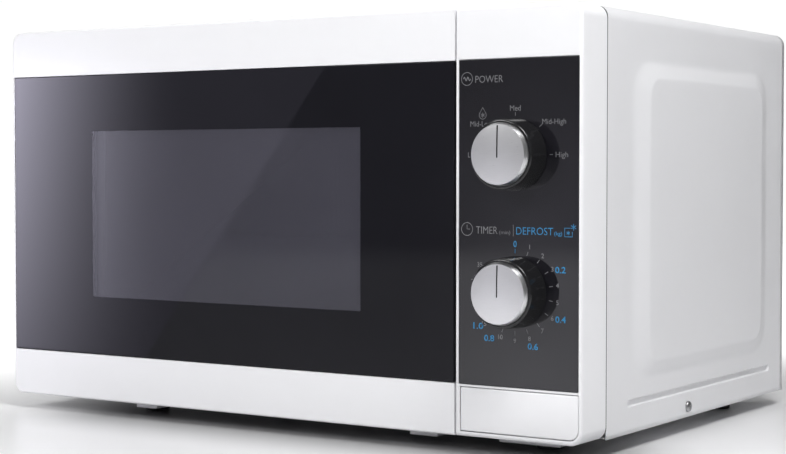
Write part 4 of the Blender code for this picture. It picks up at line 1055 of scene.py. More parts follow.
@dataclass
class Cover:
    """The painted steel wrap with its raised side panels and grooves.

    Attributes:
        rise: How far a side panel stands out.
        panel: Distances of the raised panel's foot from the front edge, the floor, the rear edge and the top.
        plateau: The same for the top of its slope.
        groove: Front and rear ends of the groove behind the front face, and its low and high edge.
        groove_depth: Depth of the groove.
        groove_wall: Width of its eased walls.
        rounding: Corner radii of the raised panel's foot and of the top of its slope.
        blend: Share of the slope that its foot's hollow takes.
        corner: Radius of the top edges.
        clearance: How far the sides lie outside the rear panel's edge.
        sheet: Thickness of the steel.
        setback: How far the front edge lies behind the solid's, which widens the joint with the bezel.
    """

    rise: float = 0.0033
    panel: tuple[float, float, float, float] = (0.0628, 0.2756, 0.0390, 0.2295)
    plateau: tuple[float, float, float, float] = (0.0825, 0.2580, 0.0505, 0.2185)
    groove: tuple[float, float, float, float] = (0.0590, 0.2815, 0.0254, 0.0302)
    groove_depth: float = 0.0016
    groove_wall: float = 0.0009
    rounding: Flat = (0.022, 0.012)
    blend: float = 0.3
    corner: float = 0.008
    clearance: float = 0.0016
    sheet: float = 0.0009
    setback: float = 0.0008

    def relief(self, y: np.ndarray, z: np.ndarray) -> np.ndarray:
        """Height of a side over its flat: a slope between two rounded rectangles, less the groove.

        The slope's share is the depth inside the outer rectangle over that depth plus the distance to the
        inner one; it rises as a square up to the blend and in a straight line after that. The groove is a
        rounded slot whose walls ease down.

        Args:
            y: Distances behind the front face.
            z: Heights over the floor.

        Returns:
            Heights, outwards.
        """
        y0, y1, z0, z1 = self.panel
        outer = np.maximum(inside_rounded(y, z, (y0, z0), (y1, z1), self.rounding[0]), 0)
        y0, y1, z0, z1 = self.plateau
        inner = np.maximum(-inside_rounded(y, z, (y0, z0), (y1, z1), self.rounding[1]), 0)
        share = outer / np.maximum(outer + inner, 1e-6)
        b = self.blend
        eased = np.where(share < b, share**2 / (b * (2 - b)), (share - b / 2) / (1 - b / 2))
        y0, y1, z0, z1 = self.groove
        slot = inside_rounded(y, z, (y0, z0), (y1, z1), (z1 - z0) / 2 - 1e-5)
        return self.rise * eased - self.groove_depth * smooth_step(slot / self.groove_wall)

    def build(self) -> None:
        """Builds the wrap as one sheet: up the right side, over the top and down the left side.

        The grid's lines lie closer together where the groove and the slopes are.
        """
        low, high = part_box("outer_cover")
        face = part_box("door_glass")[0].y
        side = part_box("rear_panel")[1].x + self.clearance
        start = low.y + self.setback - face
        y = spaced(
            (start, 0.0004), (start + 0.0012, 0.006), (0.057, 0.0005), (0.0635, 0.0014),
            (0.094, 0.007), (0.247, 0.0015), (0.278, 0.0005), (0.2835, 0.006),
            (high.y - face, 0.0),
        )
        z = spaced(
            (low.z, 0.003), (0.0245, 0.00035), (0.031, 0.002), (0.038, 0.0012), (0.060, 0.007),
            (0.208, 0.0012), (0.232, 0.004), (high.z - self.corner, 0.0),
        )
        bend = arc((side - self.corner, high.z - self.corner), self.corner, 0, 90, 10)[1:]
        top = np.linspace(side - self.corner, -side + self.corner, 30)[1:]
        right = np.concatenate([np.stack([np.full_like(z, side), z], axis=-1), bend])
        over = np.stack([top, np.full_like(top, high.z)], axis=-1)[:-1]
        line = np.concatenate([right, over, right[::-1] * (-1, 1)])
        flat_y, _ = np.meshgrid(y, line[:, 0])
        across = np.repeat(line[:, :1], len(y), axis=1)
        up = np.repeat(line[:, 1:], len(y), axis=1)
        outwards = np.where(np.abs(across) > side - 1e-6, np.sign(across), 0.0)
        points = np.stack([across + outwards * self.relief(flat_y, up), flat_y + face, up], axis=-1)
        mesh = Shape().grid(points).mesh("cover_wrap", 40, outwards=False)
        made = Workshop.piece("cover_wrap", mesh, PAINT, "cabinet", "outer_cover")
        wall = made.modifiers.new("sheet", "SOLIDIFY")
        wall.thickness = self.sheet
        wall.offset = -1.0


@dataclass
class Screw:
    """A pan head screw with a cross recess.

    Attributes:
        head: Radius of the head.
        rise: Height of the head.
        recess: Length of a recess arm from the middle.
        arm: Half of an arm's width.
        depth: Depth of the recess.
    """

    head: float = 0.0034
    rise: float = 0.0020
    recess: float = 0.0019
    arm: float = 0.00045
    depth: float = 0.0009

    def shape(self, centre: Point, axis: Axis, towards: int) -> Shape:
        """A head whose height is a flattened dome, lowered where a point lies in one of the cross's two arms.

        Args:
            centre: Middle of the head's seat.
            axis: The screw's axis.
            towards: 1 where the head points along the axis, -1 where it points against it.

        Returns:
            The closed head.
        """
        radius = self.head * np.sqrt(np.linspace(0, 1, 26))
        angle = np.linspace(0, 2 * math.pi, 48, endpoint=False)
        across = radius[:, None] * np.cos(angle)
        up = radius[:, None] * np.sin(angle)
        share = (radius[:, None] / self.head) ** 4
        dome = self.rise * np.sqrt(np.clip(1.0 - 0.9 * share, 0, 1)) * np.ones_like(across)
        arm = np.minimum(np.abs(across), np.abs(up))
        reach = np.maximum(np.abs(across), np.abs(up))
        sunk = smooth_step((self.arm - arm) / 0.00015) * smooth_step((self.recess - reach) / 0.0003)
        height = dome - self.depth * sunk
        points = axis.place(np.stack([across, up], axis=-1), height * towards)
        seat = axis.place(np.stack([across[-1], up[-1]], axis=-1), 0.0)
        shape = Shape().grid(points + np.array(centre), round_columns=True)
        shape.grid(np.stack([points[-1], seat]) + np.array(centre), round_columns=True)
        return shape.cap(seat + np.array(centre))


@dataclass
class Cabinet:
    """The rest of the outer case: base, rear panel, feet, screws and gland.

    Attributes:
        foot_radius: Radius at a foot's top.
        tread: Radius of its lower part.
        tabs: Left end, right end and front of each tab on the base's front edge.
        tab: Depth and height of a tab.
        joint: Inset and width of the dark strip painted as shade in the panel's joint.
        screw_inset: Distance of the rear screws from the panel's edges, along x and z.
        screw_seat: How far the side screws' seats lie outside the rear panel's edge.
        gland_radii: Radii of the gland's flange, neck and bore.
    """

    foot_radius: float = 0.0148
    tread: float = 0.0085
    tabs: tuple[Point, ...] = ((-0.124, -0.106, -0.126), (0.094, 0.1140, -0.125), (0.154, 0.195, -0.121))
    tab: Flat = (0.0155, 0.0050)
    joint: Flat = (0.0004, 0.0016)
    screw_inset: Flat = (0.012, 0.010)
    screw_seat: float = 0.0017
    gland_radii: Point = (0.0105, 0.0080, 0.0038)

    def build(self) -> None:
        """Builds the case's pieces."""
        Workshop.eased(
            "cabinet",
            ("base_sheet", "base_plate", PAINT, 0.0004),
            ("rear_sheet", "rear_panel", GALVANISED, 0.00025),
        )
        self.feet()
        self.base_tabs()
        self.seam()
        self.screws()
        self.gland()

    def feet(self) -> None:
        """Turned rubber feet with a rounded tread and a sunk middle for the screw."""
        for place in ("front_left", "front_right", "rear_left", "rear_right"):
            node = f"foot_{place}"
            low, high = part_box(node)
            centre = middle(node)
            r, top = self.foot_radius, high.z - low.z
            profile = [(0.0, top), (r - 0.001, top), (r, top - 0.001), (r - 0.0005, top - 0.003)]
            profile += [(self.tread + 0.001, top - 0.0036), (self.tread, top - 0.0046)]
            profile += [(self.tread + x, y) for x, y in arc((-0.001, 0.001), 0.001, 0, -90, 4)]
            profile += [(0.0035, 0.0), (0.003, 0.0005), (0.003, 0.004), (0.0, 0.004)]
            shape = Shape().turned(profile, (centre.x, centre.y, low.z), Axis.Z, 40)
            Workshop.piece(f"{node}_rubber", shape, RUBBER, "cabinet", node)

    def base_tabs(self) -> None:
        """Shallow tabs pressed down from the base's front edge, under the door and the panel."""
        deep, height = self.tab
        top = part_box("door_frame")[0].z - 0.0004
        radii, edges = (0.0015, 0.0004, 0.0015, 0.0004), (0.0006, 0.0003)
        for number, (left, right, front) in enumerate(self.tabs, 1):
            block = Shape().slab((left, top - height), (right, top), radii, (front, front + deep), edges)
            Workshop.piece(f"base_tab_{number}", block, PAINT, "cabinet")

    def seam(self) -> None:
        """A dark strip, painted shade for the shadow in the joint between panel and cover: a plate less its
        middle and its left end.
        """
        low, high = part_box("control_panel_housing")
        near, far = high.y + 0.0001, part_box("outer_cover")[0].y + 0.0006
        inset, deep = self.joint[0], sum(self.joint)
        shade_strip = Shape().slab(
            (low.x, low.z + inset), (high.x - inset, high.z - inset), (0.0065, 0.0065, 0.001, 0.001),
            (near, far), HAIR,
        )
        opening = Shape().slab(
            (low.x - 0.01, low.z + deep), (high.x - deep, high.z - deep), (0.0055, 0.0055, 0.001, 0.001),
            (near - 0.01, far + 0.01), HAIR,
        )
        # painted shade: a black strip stands for the shadow in the joint, where the real one has only shadow
        Workshop.piece("seam_shade_strip", carved("seam_shade_strip", shade_strip, opening), DARK, "cabinet")

    def screws(self) -> None:
        """The two side screws and the screws round the rear panel."""
        low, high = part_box("rear_panel")
        for tag, towards in (("left", -1), ("right", 1)):
            seat = middle(f"side_screw_{tag}")
            centre = (towards * (high.x + self.screw_seat), seat.y, seat.z)
            head = Screw().shape(centre, Axis.X, towards)
            name = f"side_screw_head_{tag}"
            Workshop.piece(name, head, SCREW_STEEL, "cabinet", f"side_screw_{tag}", angle=50)
        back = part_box("outer_cover")[1].y + 0.00002
        along, up = self.screw_inset
        heads = Shape()
        for x in (low.x + along, -0.02, high.x - along):
            for z in (low.z + up, high.z - up):
                heads.join(Screw().shape((x, back, z), Axis.Y, 1))
        Workshop.piece("rear_screws", heads, SCREW_STEEL, "cabinet", angle=50)

    def gland(self) -> None:
        """The cord's gland: a flanged ring with a rounded mouth."""
        low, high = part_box("cord_gland")
        centre = middle("cord_gland")
        depth = high.y - low.y
        flange, neck, bore = self.gland_radii
        profile = [(bore, 0.0), (neck, 0.0), (neck, depth - 0.002), (flange, depth - 0.002)]
        profile += [(flange, depth - 0.0006), (flange - 0.0006, depth)]
        profile += [(bore + 0.0012, depth), (bore, depth - 0.0012)]
        shape = Shape().turned(profile, (centre.x, low.y, centre.z), Axis.Y, 48)
        Workshop.piece("cord_gland_ring", shape, DARK, "cabinet", "cord_gland")


# ---------------------------------------------------------------- door
@dataclass
class Door:
    """The door: its white moulding, the printed glass, the screen behind it and the choke round the screen.

    Attributes:
        corner: Radius of the moulding's outer corners.
        edge: Rounding of its front edge.
        border: White margin left of the glass.
        gap: Gap between the glass and its recess.
        window: Low and high corner of the clear window in the print, x and z.
        opening: Low and high corner of the moulding's opening behind the glass.
        skin: Thickness of the moulding's front.
        wall: Thickness of its walls.
        stile: Width of the solid hinge stile.
        sweep: Radius that the stile's rear corner turns in.
        pivot: Distances of the hinge's axis from the stile's side and back.
        hinges: Low and high face of each hinge plate and the low end of its pin's bore.
        bore: Radius and length of a bore.
    """

    corner: float = 0.008
    edge: float = 0.0014
    border: float = 0.0019
    gap: float = 0.0003
    window: tuple[Flat, Flat] = ((-0.1460, 0.0793), (0.0710, 0.1899))
    opening: tuple[Flat, Flat] = ((-0.176, 0.058), (0.100, 0.211))
    skin: float = 0.0075
    wall: float = 0.0025
    stile: float = 0.020
    sweep: float = 0.0173
    pivot: Flat = (0.014, 0.017)
    hinges: tuple[Point, Point] = ((0.018, 0.020, 0.020), (0.246, 0.248, 0.2355))
    bore: Flat = (0.0029, 0.0105)

    def build(self) -> None:
        """Builds the door's pieces."""
        self.moulding()
        self.glass()
        low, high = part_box("door_screen")
        sheet = Shape().slab((low.x, low.z), (high.x, high.z), (0.004,) * 4, (low.y, high.y), HAIR)
        Workshop.piece("perforated_screen", sheet, SCREEN, "door", "door_screen")
        Workshop.eased(
            "door",
            ("choke_frame", "door_choke_frame", CHOKE, 0.0006),
            ("choke_cover", "door_choke_cover", GREY, 0.0005),
            ("inner_window_sheet", "door_inner_window", FILM, 0.0002),
        )
        Workshop.eased("latch", ("latch_hooks", "door_latch", GREY, 0.0004))
        Workshop.paint(GALVANISED, "latch_spring")

    def moulding(self) -> None:
        """The white body: a plate with a rounded front edge, cut square at the slit, hollowed from behind."""
        low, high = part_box("door_frame")
        glass_low, glass_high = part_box("door_glass")
        radii = (0.001, 0.001, self.corner, self.corner)
        depths = (low.y, high.y)
        body = Shape().slab((low.x, low.z), (high.x + 0.01, high.z), radii, depths, (self.edge, 0.0003))
        slit = Shape().block(
            (high.x, low.y - REACH, low.z - REACH), (high.x + REACH, high.y + REACH, high.z + REACH)
        )
        recess = Shape().block(
            (low.x + self.border, low.y - REACH, glass_low.z - self.gap),
            (high.x + REACH, glass_high.y + self.gap, glass_high.z + self.gap),
        )
        hollow = Shape().slab(
            (low.x + self.stile, low.z + self.wall), (high.x - self.wall, high.z - self.wall), (0.001,) * 4,
            (low.y + self.skin, high.y + REACH), SLIGHT,
        )
        window = Shape().slab(*self.opening, (0.002,) * 4, (low.y - REACH, low.y + 0.02), SLIGHT)
        room = self.hinge_room(low, high)
        mesh = carved("door_moulding", body, slit, recess, hollow, window, *room)
        Workshop.ease(Workshop.piece("door_moulding", mesh, WHITE, "door", "door_frame"), 0.0003)

    def hinge_room(self, low: Vector, high: Vector) -> list[Shape]:
        """Room for the hinges: the stile's rounded rear corner, and a notch and a bore at each end.

        Args:
            low: The frame's low corner.
            high: Its high corner.

        Returns:
            The cutters.
        """
        x, y = low.x + self.pivot[0], high.y - self.pivot[1]
        margin = 0.01
        corner = Shape().block((low.x - margin, y, low.z - margin), (x, high.y + margin, high.z + margin))
        around = [(0.0, -0.1), (self.sweep, -0.1), (self.sweep, 0.4), (0.0, 0.4)]
        swing = Shape().turned(around, (x, y, 0.0), Axis.Z, 96)
        rounding = carved("stile_corner", corner, swing)
        cutters = [Shape().take(rounding)]
        bpy.data.meshes.remove(rounding)
        radius, length = self.bore
        for bottom, top, start in self.hinges:
            notch = Shape().block(
                (low.x - margin, y - 0.009, bottom - 0.001), (x + 0.0065, high.y + margin, top + 0.001)
            )
            pin = [(0.0, start), (radius, start), (radius, start + length), (0.0, start + length)]
            cutters += [notch, Shape().turned(pin, (x, y, 0.0), Axis.Z, 24)]
        return cutters

    def glass(self) -> None:
        """The glass: a black printed border with rounded rims and the tinted window that lies flush in it."""
        low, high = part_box("door_glass")
        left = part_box("door_frame")[0].x + self.border + self.gap
        (x0, z0), (x1, z1) = self.window
        depths = (low.y, high.y)
        pane = Shape().slab((left, low.z), (high.x, high.z), (0.0006,) * 4, depths, (0.00035, 0.0002))
        hole = Shape().block((x0, low.y - 0.01, z0), (x1, high.y + 0.01, z1))
        mesh = carved("door_glass_border", pane, hole)
        Workshop.flatten(Workshop.piece("door_glass_border", mesh, GLASS_PRINT, "door", "door_glass"))
        slip = 0.00002
        window = Shape().block((x0 + slip, low.y, z0 + slip), (x1 - slip, high.y, z1 - slip))
        Workshop.piece("door_glass_window", window, PANE, "door", "door_glass")


# ---------------------------------------------------------------- control panel
class Lettering:
    """Printed words and marks on a flat front, gathered by colour."""

    capital = 0.682  # height of the font's capitals at size 1
    film = (0.00005, 0.00001)  # how far a line's front and back lie before the face
    letter_film = (0.00003, 0.001)  # how far the letters lie before it, and their thickness at size 1

    def __init__(self, face: float) -> None:
        """Prints on the plane y = face."""
        self.face = face
        self.colours: dict[Finish, Shape] = {}

    def shape(self, finish: Finish) -> Shape:
        """The shape that holds this colour's marks."""
        return self.colours.setdefault(finish, Shape())

    def word(
        self, text: str, centre: Flat, height: float, width: float, finish: Finish, bold: float = 0.0
    ) -> None:
        """Prints a word with its middle at a place.

        Args:
            text: The word.
            centre: Middle of its capitals, x and z.
            height: Height of its capitals.
            width: Width of the word, or 0 for the font's own.
            finish: Its colour.
            bold: How far the letters' edges move out, as a share of the font's size.
        """
        curve = bpy.data.curves.new("word", "FONT")
        curve.body = text
        curve.extrude = 0.02
        curve.offset = bold
        curve.resolution_u = 3
        made = bpy.data.objects.new("word", curve)
        bpy.context.scene.collection.objects.link(made)
        mesh = bpy.data.meshes.new_from_object(made.evaluated_get(bpy.context.evaluated_depsgraph_get()))
        points = read_points(mesh)
        left, right = points[:, 0].min(), points[:, 0].max()
        width = width or (right - left) * height / self.capital
        placed = np.empty_like(points)
        placed[:, 0] = centre[0] + (points[:, 0] - (left + right) / 2) * width / (right - left)
        placed[:, 1] = self.face - self.letter_film[0] - points[:, 2] * self.letter_film[1]
        placed[:, 2] = centre[1] + (points[:, 1] / self.capital - 0.5) * height
        self.shape(finish).take(mesh, placed)
        bpy.data.objects.remove(made)
        bpy.data.curves.remove(curve)
        bpy.data.meshes.remove(mesh)

    def stroke(self, path: Sequence[Flat], width: float, finish: Finish, closed: bool = False) -> None:
        """Prints a line of even width: the path moved half the width to both sides along its normals.

        Args:
            path: Points x and z.
            width: The line's width.
            finish: Its colour.
            closed: Whether the last point joins the first.
        """
        points = np.array(path, float)
        if closed:
            ahead, behind = np.roll(points, -1, axis=0), np.roll(points, 1, axis=0)
            along = ahead - behind
        else:
            along = np.gradient(points, axis=0)
        along /= np.linalg.norm(along, axis=1, keepdims=True)
        normal = along[:, ::-1] * (-1, 1) * width / 2
        near, far = (self.face - film for film in self.film)
        sides = ((normal, near), (-normal, near), (-normal, far), (normal, far))
        corners = [Axis.Y.place(points + side, depth) for side, depth in sides]
        self.shape(finish).rings(list(np.stack(corners, axis=1)), closed=closed)

    def dial_stroke(self, centre: Flat, angle: float, radii: Flat, width: float, finish: Finish) -> None:
        """Prints a tick between two radii, at an angle clockwise from the top."""
        ends = [dial_point(centre, angle, radius) for radius in radii]
        self.stroke(ends, width, finish)

    def build(self, name: str, body: str) -> None:
        """Makes one piece for each colour."""
        for finish, shape in self.colours.items():
            Workshop.piece(f"{name}_{finish.name}", shape, finish, body, angle=20)


def read_points(mesh: bpy.types.Mesh) -> np.ndarray:
    """Reads a mesh's points.

    Args:
        mesh: The mesh.

    Returns:
        An array of points with three coordinates.
    """
    points = np.empty(len(mesh.vertices) * 3)
    mesh.vertices.foreach_get("co", points)
    return points.reshape(-1, 3)


def dial_point(centre: Flat, angle: float, radius: float) -> Flat:
    """The point at an angle clockwise from the top and at a radius."""
    turn = math.radians(angle)
    return centre[0] + radius * math.sin(turn), centre[1] + radius * math.cos(turn)


@dataclass
class ControlPanel:
    """The right side of the front: white moulding, glossy fascia with its print, and the release button.

    Attributes:
        corner: Radius of the moulding's outer corners.
        edge: Rounding of its front edge.
        wall: Thickness of its walls.
        skin: Thickness of its front.
        gap: Gap between pieces that lie in one another.
        mouth: Gap round the button.
        shaft_hole: Radius of the holes for the shafts.
        plate: Thickness of the button's plate.
        stem: Left end, right end and thickness of the button's stem, and its height over the button's middle.
    """

    corner: float = 0.008
    edge: float = 0.0020
    wall: float = 0.0025
    skin: float = 0.0040
    gap: float = 0.0003
    mouth: float = 0.0005
    shaft_hole: float = 0.0052
    plate: float = 0.003
    stem: tuple[float, float, float, float] = (0.153, 0.163, 0.003, 0.0020)

    def build(self) -> None:
        """Builds the panel's pieces."""
        self.moulding()
        low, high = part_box("control_panel_fascia")
        depths = (low.y, high.y)
        plate = Shape().slab((low.x, low.z), (high.x, high.z), (0.0006,) * 4, depths, (0.00025, 0.0001))
        mesh = carved("fascia_plate", plate, *self.shaft_holes())
        Workshop.flatten(Workshop.piece("fascia_plate", mesh, FASCIA, "cabinet", "control_panel_fascia"))
        self.button()
        PanelPrint().build()

    def shaft_holes(self) -> list[Shape]:
        """Makes the cutters for the shafts' holes.

        Returns:
            One cutter for each shaft.
        """
        r = self.shaft_hole
        profile = [(0.0, -REACH), (r, -REACH), (r, REACH), (0.0, REACH)]
        return [Shape().turned(profile, middle(node), Axis.Y, 32) for node in ("power_shaft", "timer_shaft")]

    def moulding(self) -> None:
        """The white shell: a plate with a rounded front edge, cut square at the slit and hollowed."""
        low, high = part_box("control_panel_housing")
        radii = (self.corner, self.corner, 0.001, 0.001)
        depths = (low.y, high.y)
        body = Shape().slab((low.x - 0.01, low.z), (high.x, high.z), radii, depths, (self.edge, 0.0003))
        slit = Shape().block(
            (low.x - REACH, low.y - REACH, low.z - REACH), (low.x, high.y + REACH, high.z + REACH)
        )
        w = self.wall
        inner = self.corner - w
        hollow = Shape().slab(
            (low.x + w, low.z + w), (high.x - w, high.z - w), (inner, inner, 0.001, 0.001),
            (low.y + self.skin, high.y + REACH), SLIGHT,
        )
        recesses = []
        for node, g, radii, depth in (
            ("control_panel_fascia", self.gap, (0.0008,) * 4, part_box("control_panel_fascia")[1].y + self.gap),
            ("release_button", self.mouth, (0.0065, 0.0008, 0.0008, 0.0008), low.y + 0.012),
        ):
            near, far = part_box(node)
            recesses.append(Shape().slab(
                (near.x - g, near.z - g), (far.x + g, far.z + g), radii, (low.y - REACH, depth), HAIR
            ))
        mesh = carved("panel_moulding", body, slit, hollow, *recesses, *self.shaft_holes())
        made = Workshop.piece("panel_moulding", mesh, WHITE, "cabinet", "control_panel_housing")
        Workshop.ease(made, 0.0003)

    def button(self) -> None:
        """The push panel: a plate whose right lower corner follows the moulding, and its stem."""
        low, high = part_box("release_button")
        shape = Shape().slab(
            (low.x, low.z), (high.x, high.z), (0.006, 0.0006, 0.0006, 0.0006),
            (low.y, low.y + self.plate), (0.0007, 0.0003),
        )
        left, right, thick, over = self.stem
        z = (low.z + high.z) / 2 + over
        shape.block((left, low.y + self.plate - 0.0002, z - thick / 2), (right, high.y, z + thick / 2))
        Workshop.piece("push_panel", shape, WHITE, "push_button", "release_button")


@dataclass
class PanelPrint:
    """The legends on the fascia: two dial scales with their headings and plain signs.

    Attributes:
        digit: Height of the minutes' numbers.
        thin: How the headings' letters are thinned, as a share of the font's size.
        thick: How the weights' numbers are thickened.
        weight: Height and width of a weight's number.
        line: Width of the printed lines.
        minute_step: Angle of one minute on the timer's even part, in degrees.
        tick: Inner and outer radius of a tick.
        ring: Radius of a sign's ring.
    """

    digit: float = 0.0026
    weight: Flat = (0.0034, 0.0067)
    thin: float = -0.008
    thick: float = 0.02
    line: float = 0.00034
    minute_step: float = 20.0
    tick: Flat = (0.0222, 0.0246)
    ring: float = 0.0037

    def build(self) -> None:
        """Prints both scales."""
        marks = Lettering(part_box("control_panel_fascia")[0].y)
        power, timer = middle("power_knob_cap"), middle("timer_knob_cap")
        self.power_scale(marks, (power.x, power.z))
        self.timer_scale(marks, (timer.x, timer.z))
        marks.build("print", "cabinet")

    def sign_ring(self, marks: Lettering, centre: Flat, finish: Finish) -> None:
        """The ring round a sign."""
        marks.stroke(arc(centre, self.ring, 0, 360, 48)[:-1], self.line, finish, closed=True)

    def flake(self, marks: Lettering, centre: Flat, reach: float, finish: Finish) -> None:
        """A plain frost star of three crossed lines."""
        for angle in (0, 60, 120):
            marks.dial_stroke(centre, angle, (-reach, reach), self.line, finish)

    def power_scale(self, marks: Lettering, centre: Flat) -> None:
        """Five power settings from Low round the top to High, under a heading with a wave sign.

        Args:
            marks: Where the marks are gathered.
            centre: Middle of the knob, x and z.
        """
        sign = (0.1455, 0.2166)
        self.sign_ring(marks, sign, PRINT_GREY)
        along = np.linspace(-1, 1, 24)
        wave = np.stack([sign[0] + 0.0023 * along, sign[1] + 0.0011 * np.sin(along * 2 * math.pi)], axis=-1)
        marks.stroke(wave, self.line * 1.3, PRINT_GREY)
        marks.word("POWER", (0.1602, 0.2162), 0.0040, 0.0182, PRINT_GREY, self.thin)
        for angle in (-90, -45, 0, 45, 90):
            marks.dial_stroke(centre, angle, (0.0220, 0.0240), self.line, PRINT_GREY)
        for name, angle, radius, width in (
            ("Low", -90, 0.0280, 0.0062), ("Mid-Low", -51.5, 0.0285, 0.0145), ("Med", 0, 0.0264, 0.0070),
            ("Mid-High", 53.2, 0.0309, 0.0150), ("High", 90, 0.0297, 0.0078),
        ):
            marks.word(name, dial_point(centre, angle, radius), 0.0030, width, PRINT_GREY)
        drop = (0.1560, 0.1957)
        outline = [(drop[0], drop[1] + 0.0044), *arc(drop, 0.0023, 35, -215, 20)]
        marks.stroke(outline, self.line * 0.9, PRINT_GREY, closed=True)
        self.flake(marks, drop, 0.0014, PRINT_GREY)

    def timer_scale(self, marks: Lettering, centre: Flat) -> None:
        """Minutes round the knob, even up to ten and closer after that, with weights for thawing outside.

        Args:
            marks: Where the marks are gathered.
            centre: Middle of the knob, x and z.
        """
        sign = (0.1457, 0.1303)
        self.sign_ring(marks, sign, PRINT_WHITE)
        hands = [(sign[0], sign[1] + 0.0025), sign, (sign[0] + 0.0018, sign[1])]
        marks.stroke(hands, self.line, PRINT_WHITE)
        marks.word("TIMER", (0.1588, 0.1299), 0.0042, 0.0142, PRINT_WHITE, self.thin)
        marks.word("(min)", (0.1706, 0.1289), 0.0021, 0.0072, PRINT_GREY)
        marks.stroke([(0.1762, 0.1268), (0.1762, 0.1333)], self.line, PRINT_GREY)
        marks.word("DEFROST", (0.1899, 0.1299), 0.0042, 0.0236, PRINT_BLUE, self.thin)
        marks.word("(kg)", (0.2049, 0.1289), 0.0021, 0.0050, PRINT_BLUE)
        tray = [(0.2126, 0.1320), (0.2090, 0.1320), (0.2090, 0.1272), (0.2138, 0.1272), (0.2138, 0.1300)]
        marks.stroke(tray, self.line, PRINT_BLUE)
        self.flake(marks, (0.2146, 0.1326), 0.0018, PRINT_BLUE)
        self.flake(marks, (0.2112, 0.1293), 0.0012, PRINT_BLUE)
        for minute in range(1, 11):
            self.minute(marks, centre, minute * self.minute_step, str(minute))
        for minute, angle in ((15, 227.0), (20, 254.0), (25, 281.0), (35, 303.0)):
            self.minute(marks, centre, angle, str(minute))
        marks.dial_stroke(centre, 0, self.tick, self.line, PRINT_BLUE)
        marks.word("0", dial_point(centre, 0, 0.0274), self.weight[0], 0.0022, PRINT_BLUE, self.thick)
        for number, angle, radius in (
            ("0.2", 65, 0.0320), ("0.4", 116, 0.0325), ("0.6", 159, 0.0325),
            ("0.8", 212, 0.0318), ("1.0", 230, 0.0315),
        ):
            marks.word(number, dial_point(centre, angle, radius), *self.weight, PRINT_BLUE, self.thick)

    def minute(self, marks: Lettering, centre: Flat, angle: float, text: str) -> None:
        """A tick with its number."""
        marks.dial_stroke(centre, angle, self.tick, self.line, PRINT_WHITE)
        marks.word(text, dial_point(centre, angle, 0.0276), self.digit, 0.0, PRINT_WHITE)


@dataclass
class Knob:
    """A rotary knob: a glossy body, a brushed cap with a sloping rim, and an inlaid pointer.

    Attributes:
        radius: Radius of the body at its back.
        draft: How much narrower its front is.
        nose: Rounding of the body's front edge.
        cap: Radius of the cap where it meets the body.
        slope: Width and depth of the cap's rim.
        bow: How far the rim's line bows out.
        dome: How far the middle of the cap stands out.
        pointer: Width of the pointer.
        tail: How far the pointer reaches below the middle.
        slot: Depth of the pointer's slot.
        seat: Gap round the cap, and depth of its seat.
        hollow: Radius and depth of the hollow in the body's back.
    """

    radius: float = 0.0205
    draft: float = 0.0008
    nose: float = 0.0010
    cap: float = 0.0181
    slope: Flat = (0.0012, 0.0034)
    bow: float = 0.00012
    dome: float = 0.0006
    pointer: float = 0.0009
    tail: float = 0.0018
    slot: float = 0.0005
    seat: Flat = (0.0003, 0.0012)
    hollow: Flat = (0.0065, 0.004)

    def build(self, name: str, body: str) -> None:
        """Builds one knob on its body.

        Args:
            name: The solids' common name.
            body: The body that turns.
        """
        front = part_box(f"{name}_knob_cap")[0].y
        centre = middle(f"{name}_knob")
        self.grip(name, body, (centre.x, front + self.dome + self.slope[1], centre.z))
        self.face(name, body, (centre.x, front + self.dome, centre.z))
        Workshop.eased(body, (f"{name}_spindle", f"{name}_shaft", GALVANISED, 0.0003))

    def grip(self, name: str, body: str, place: Point) -> None:
        """The black body: a step for the cap, a rounded nose, a slight draft and a hollow for the spindle.

        Args:
            name: The solids' common name.
            body: The body that turns.
            place: Middle of its front.
        """
        tip, n, back = self.radius - self.draft, self.nose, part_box(f"{name}_knob")[1].y - place[1]
        seat, step = self.cap + self.seat[0], self.seat[1]
        hollow, deep = self.hollow
        turn = np.linspace(0.1, math.pi / 2, 6)
        profile = [(0.0, step), (seat, step), (seat, 0.0)]
        profile += list(zip(tip - n + n * np.sin(turn), n * (1 - np.cos(turn))))
        profile += [(self.radius, back - 0.0004), (self.radius - 0.0004, back), (hollow, back)]
        profile += [(hollow, back - deep), (0.0, back - deep)]
        shape = Shape().turned(profile, place, Axis.Y, 128)
        Workshop.piece(f"{name}_knob_body", shape, KNOB, body, f"{name}_knob")

    def face(self, name: str, body: str, place: Point) -> None:
        """The cap: a slightly domed face, a steep rim and the pointer that is let into the face.

        The dome is a parabola. The rim is a cone whose line bows out by half a sine wave.

        Args:
            name: The solids' common name.
            body: The body that turns.
            place: Middle of the face.
        """
        wide, deep = self.slope
        flat = self.cap - wide
        rim = [(flat + wide * x + self.bow * math.sin(x * math.pi), deep * x) for x in np.linspace(0, 1, 9)]
        dome = [(flat * x, self.dome * (x**2 - 1)) for x in np.linspace(0, 1, 12)[1:-1]]
        foot = deep + 0.001
        profile = [(0.0, -self.dome), *dome, *rim, (self.cap, foot), (0.0, foot)]
        disc = Shape().turned(profile, place, Axis.Y, 128)
        half, sunk = self.pointer / 2, self.slot
        low, high = (place[0] - half, place[2] - self.tail), (place[0] + half, place[2] + flat - 0.0007)
        slot = Shape().block((low[0], place[1] - 0.001, low[1]), (high[0], place[1] + sunk, high[1]))
        mesh = carved(f"{name}_cap_face", disc, slot)
        Workshop.flatten(Workshop.piece(f"{name}_cap_face", mesh, CAP, body, f"{name}_knob_cap"))
        depths = (place[1] - 0.0002, place[1] + sunk)
        inlay = Shape().slab(low, high, (half * 0.98,) * 4, depths, (0.00005, 0.00005))
        Workshop.piece(f"{name}_pointer", inlay, KNOB, body)


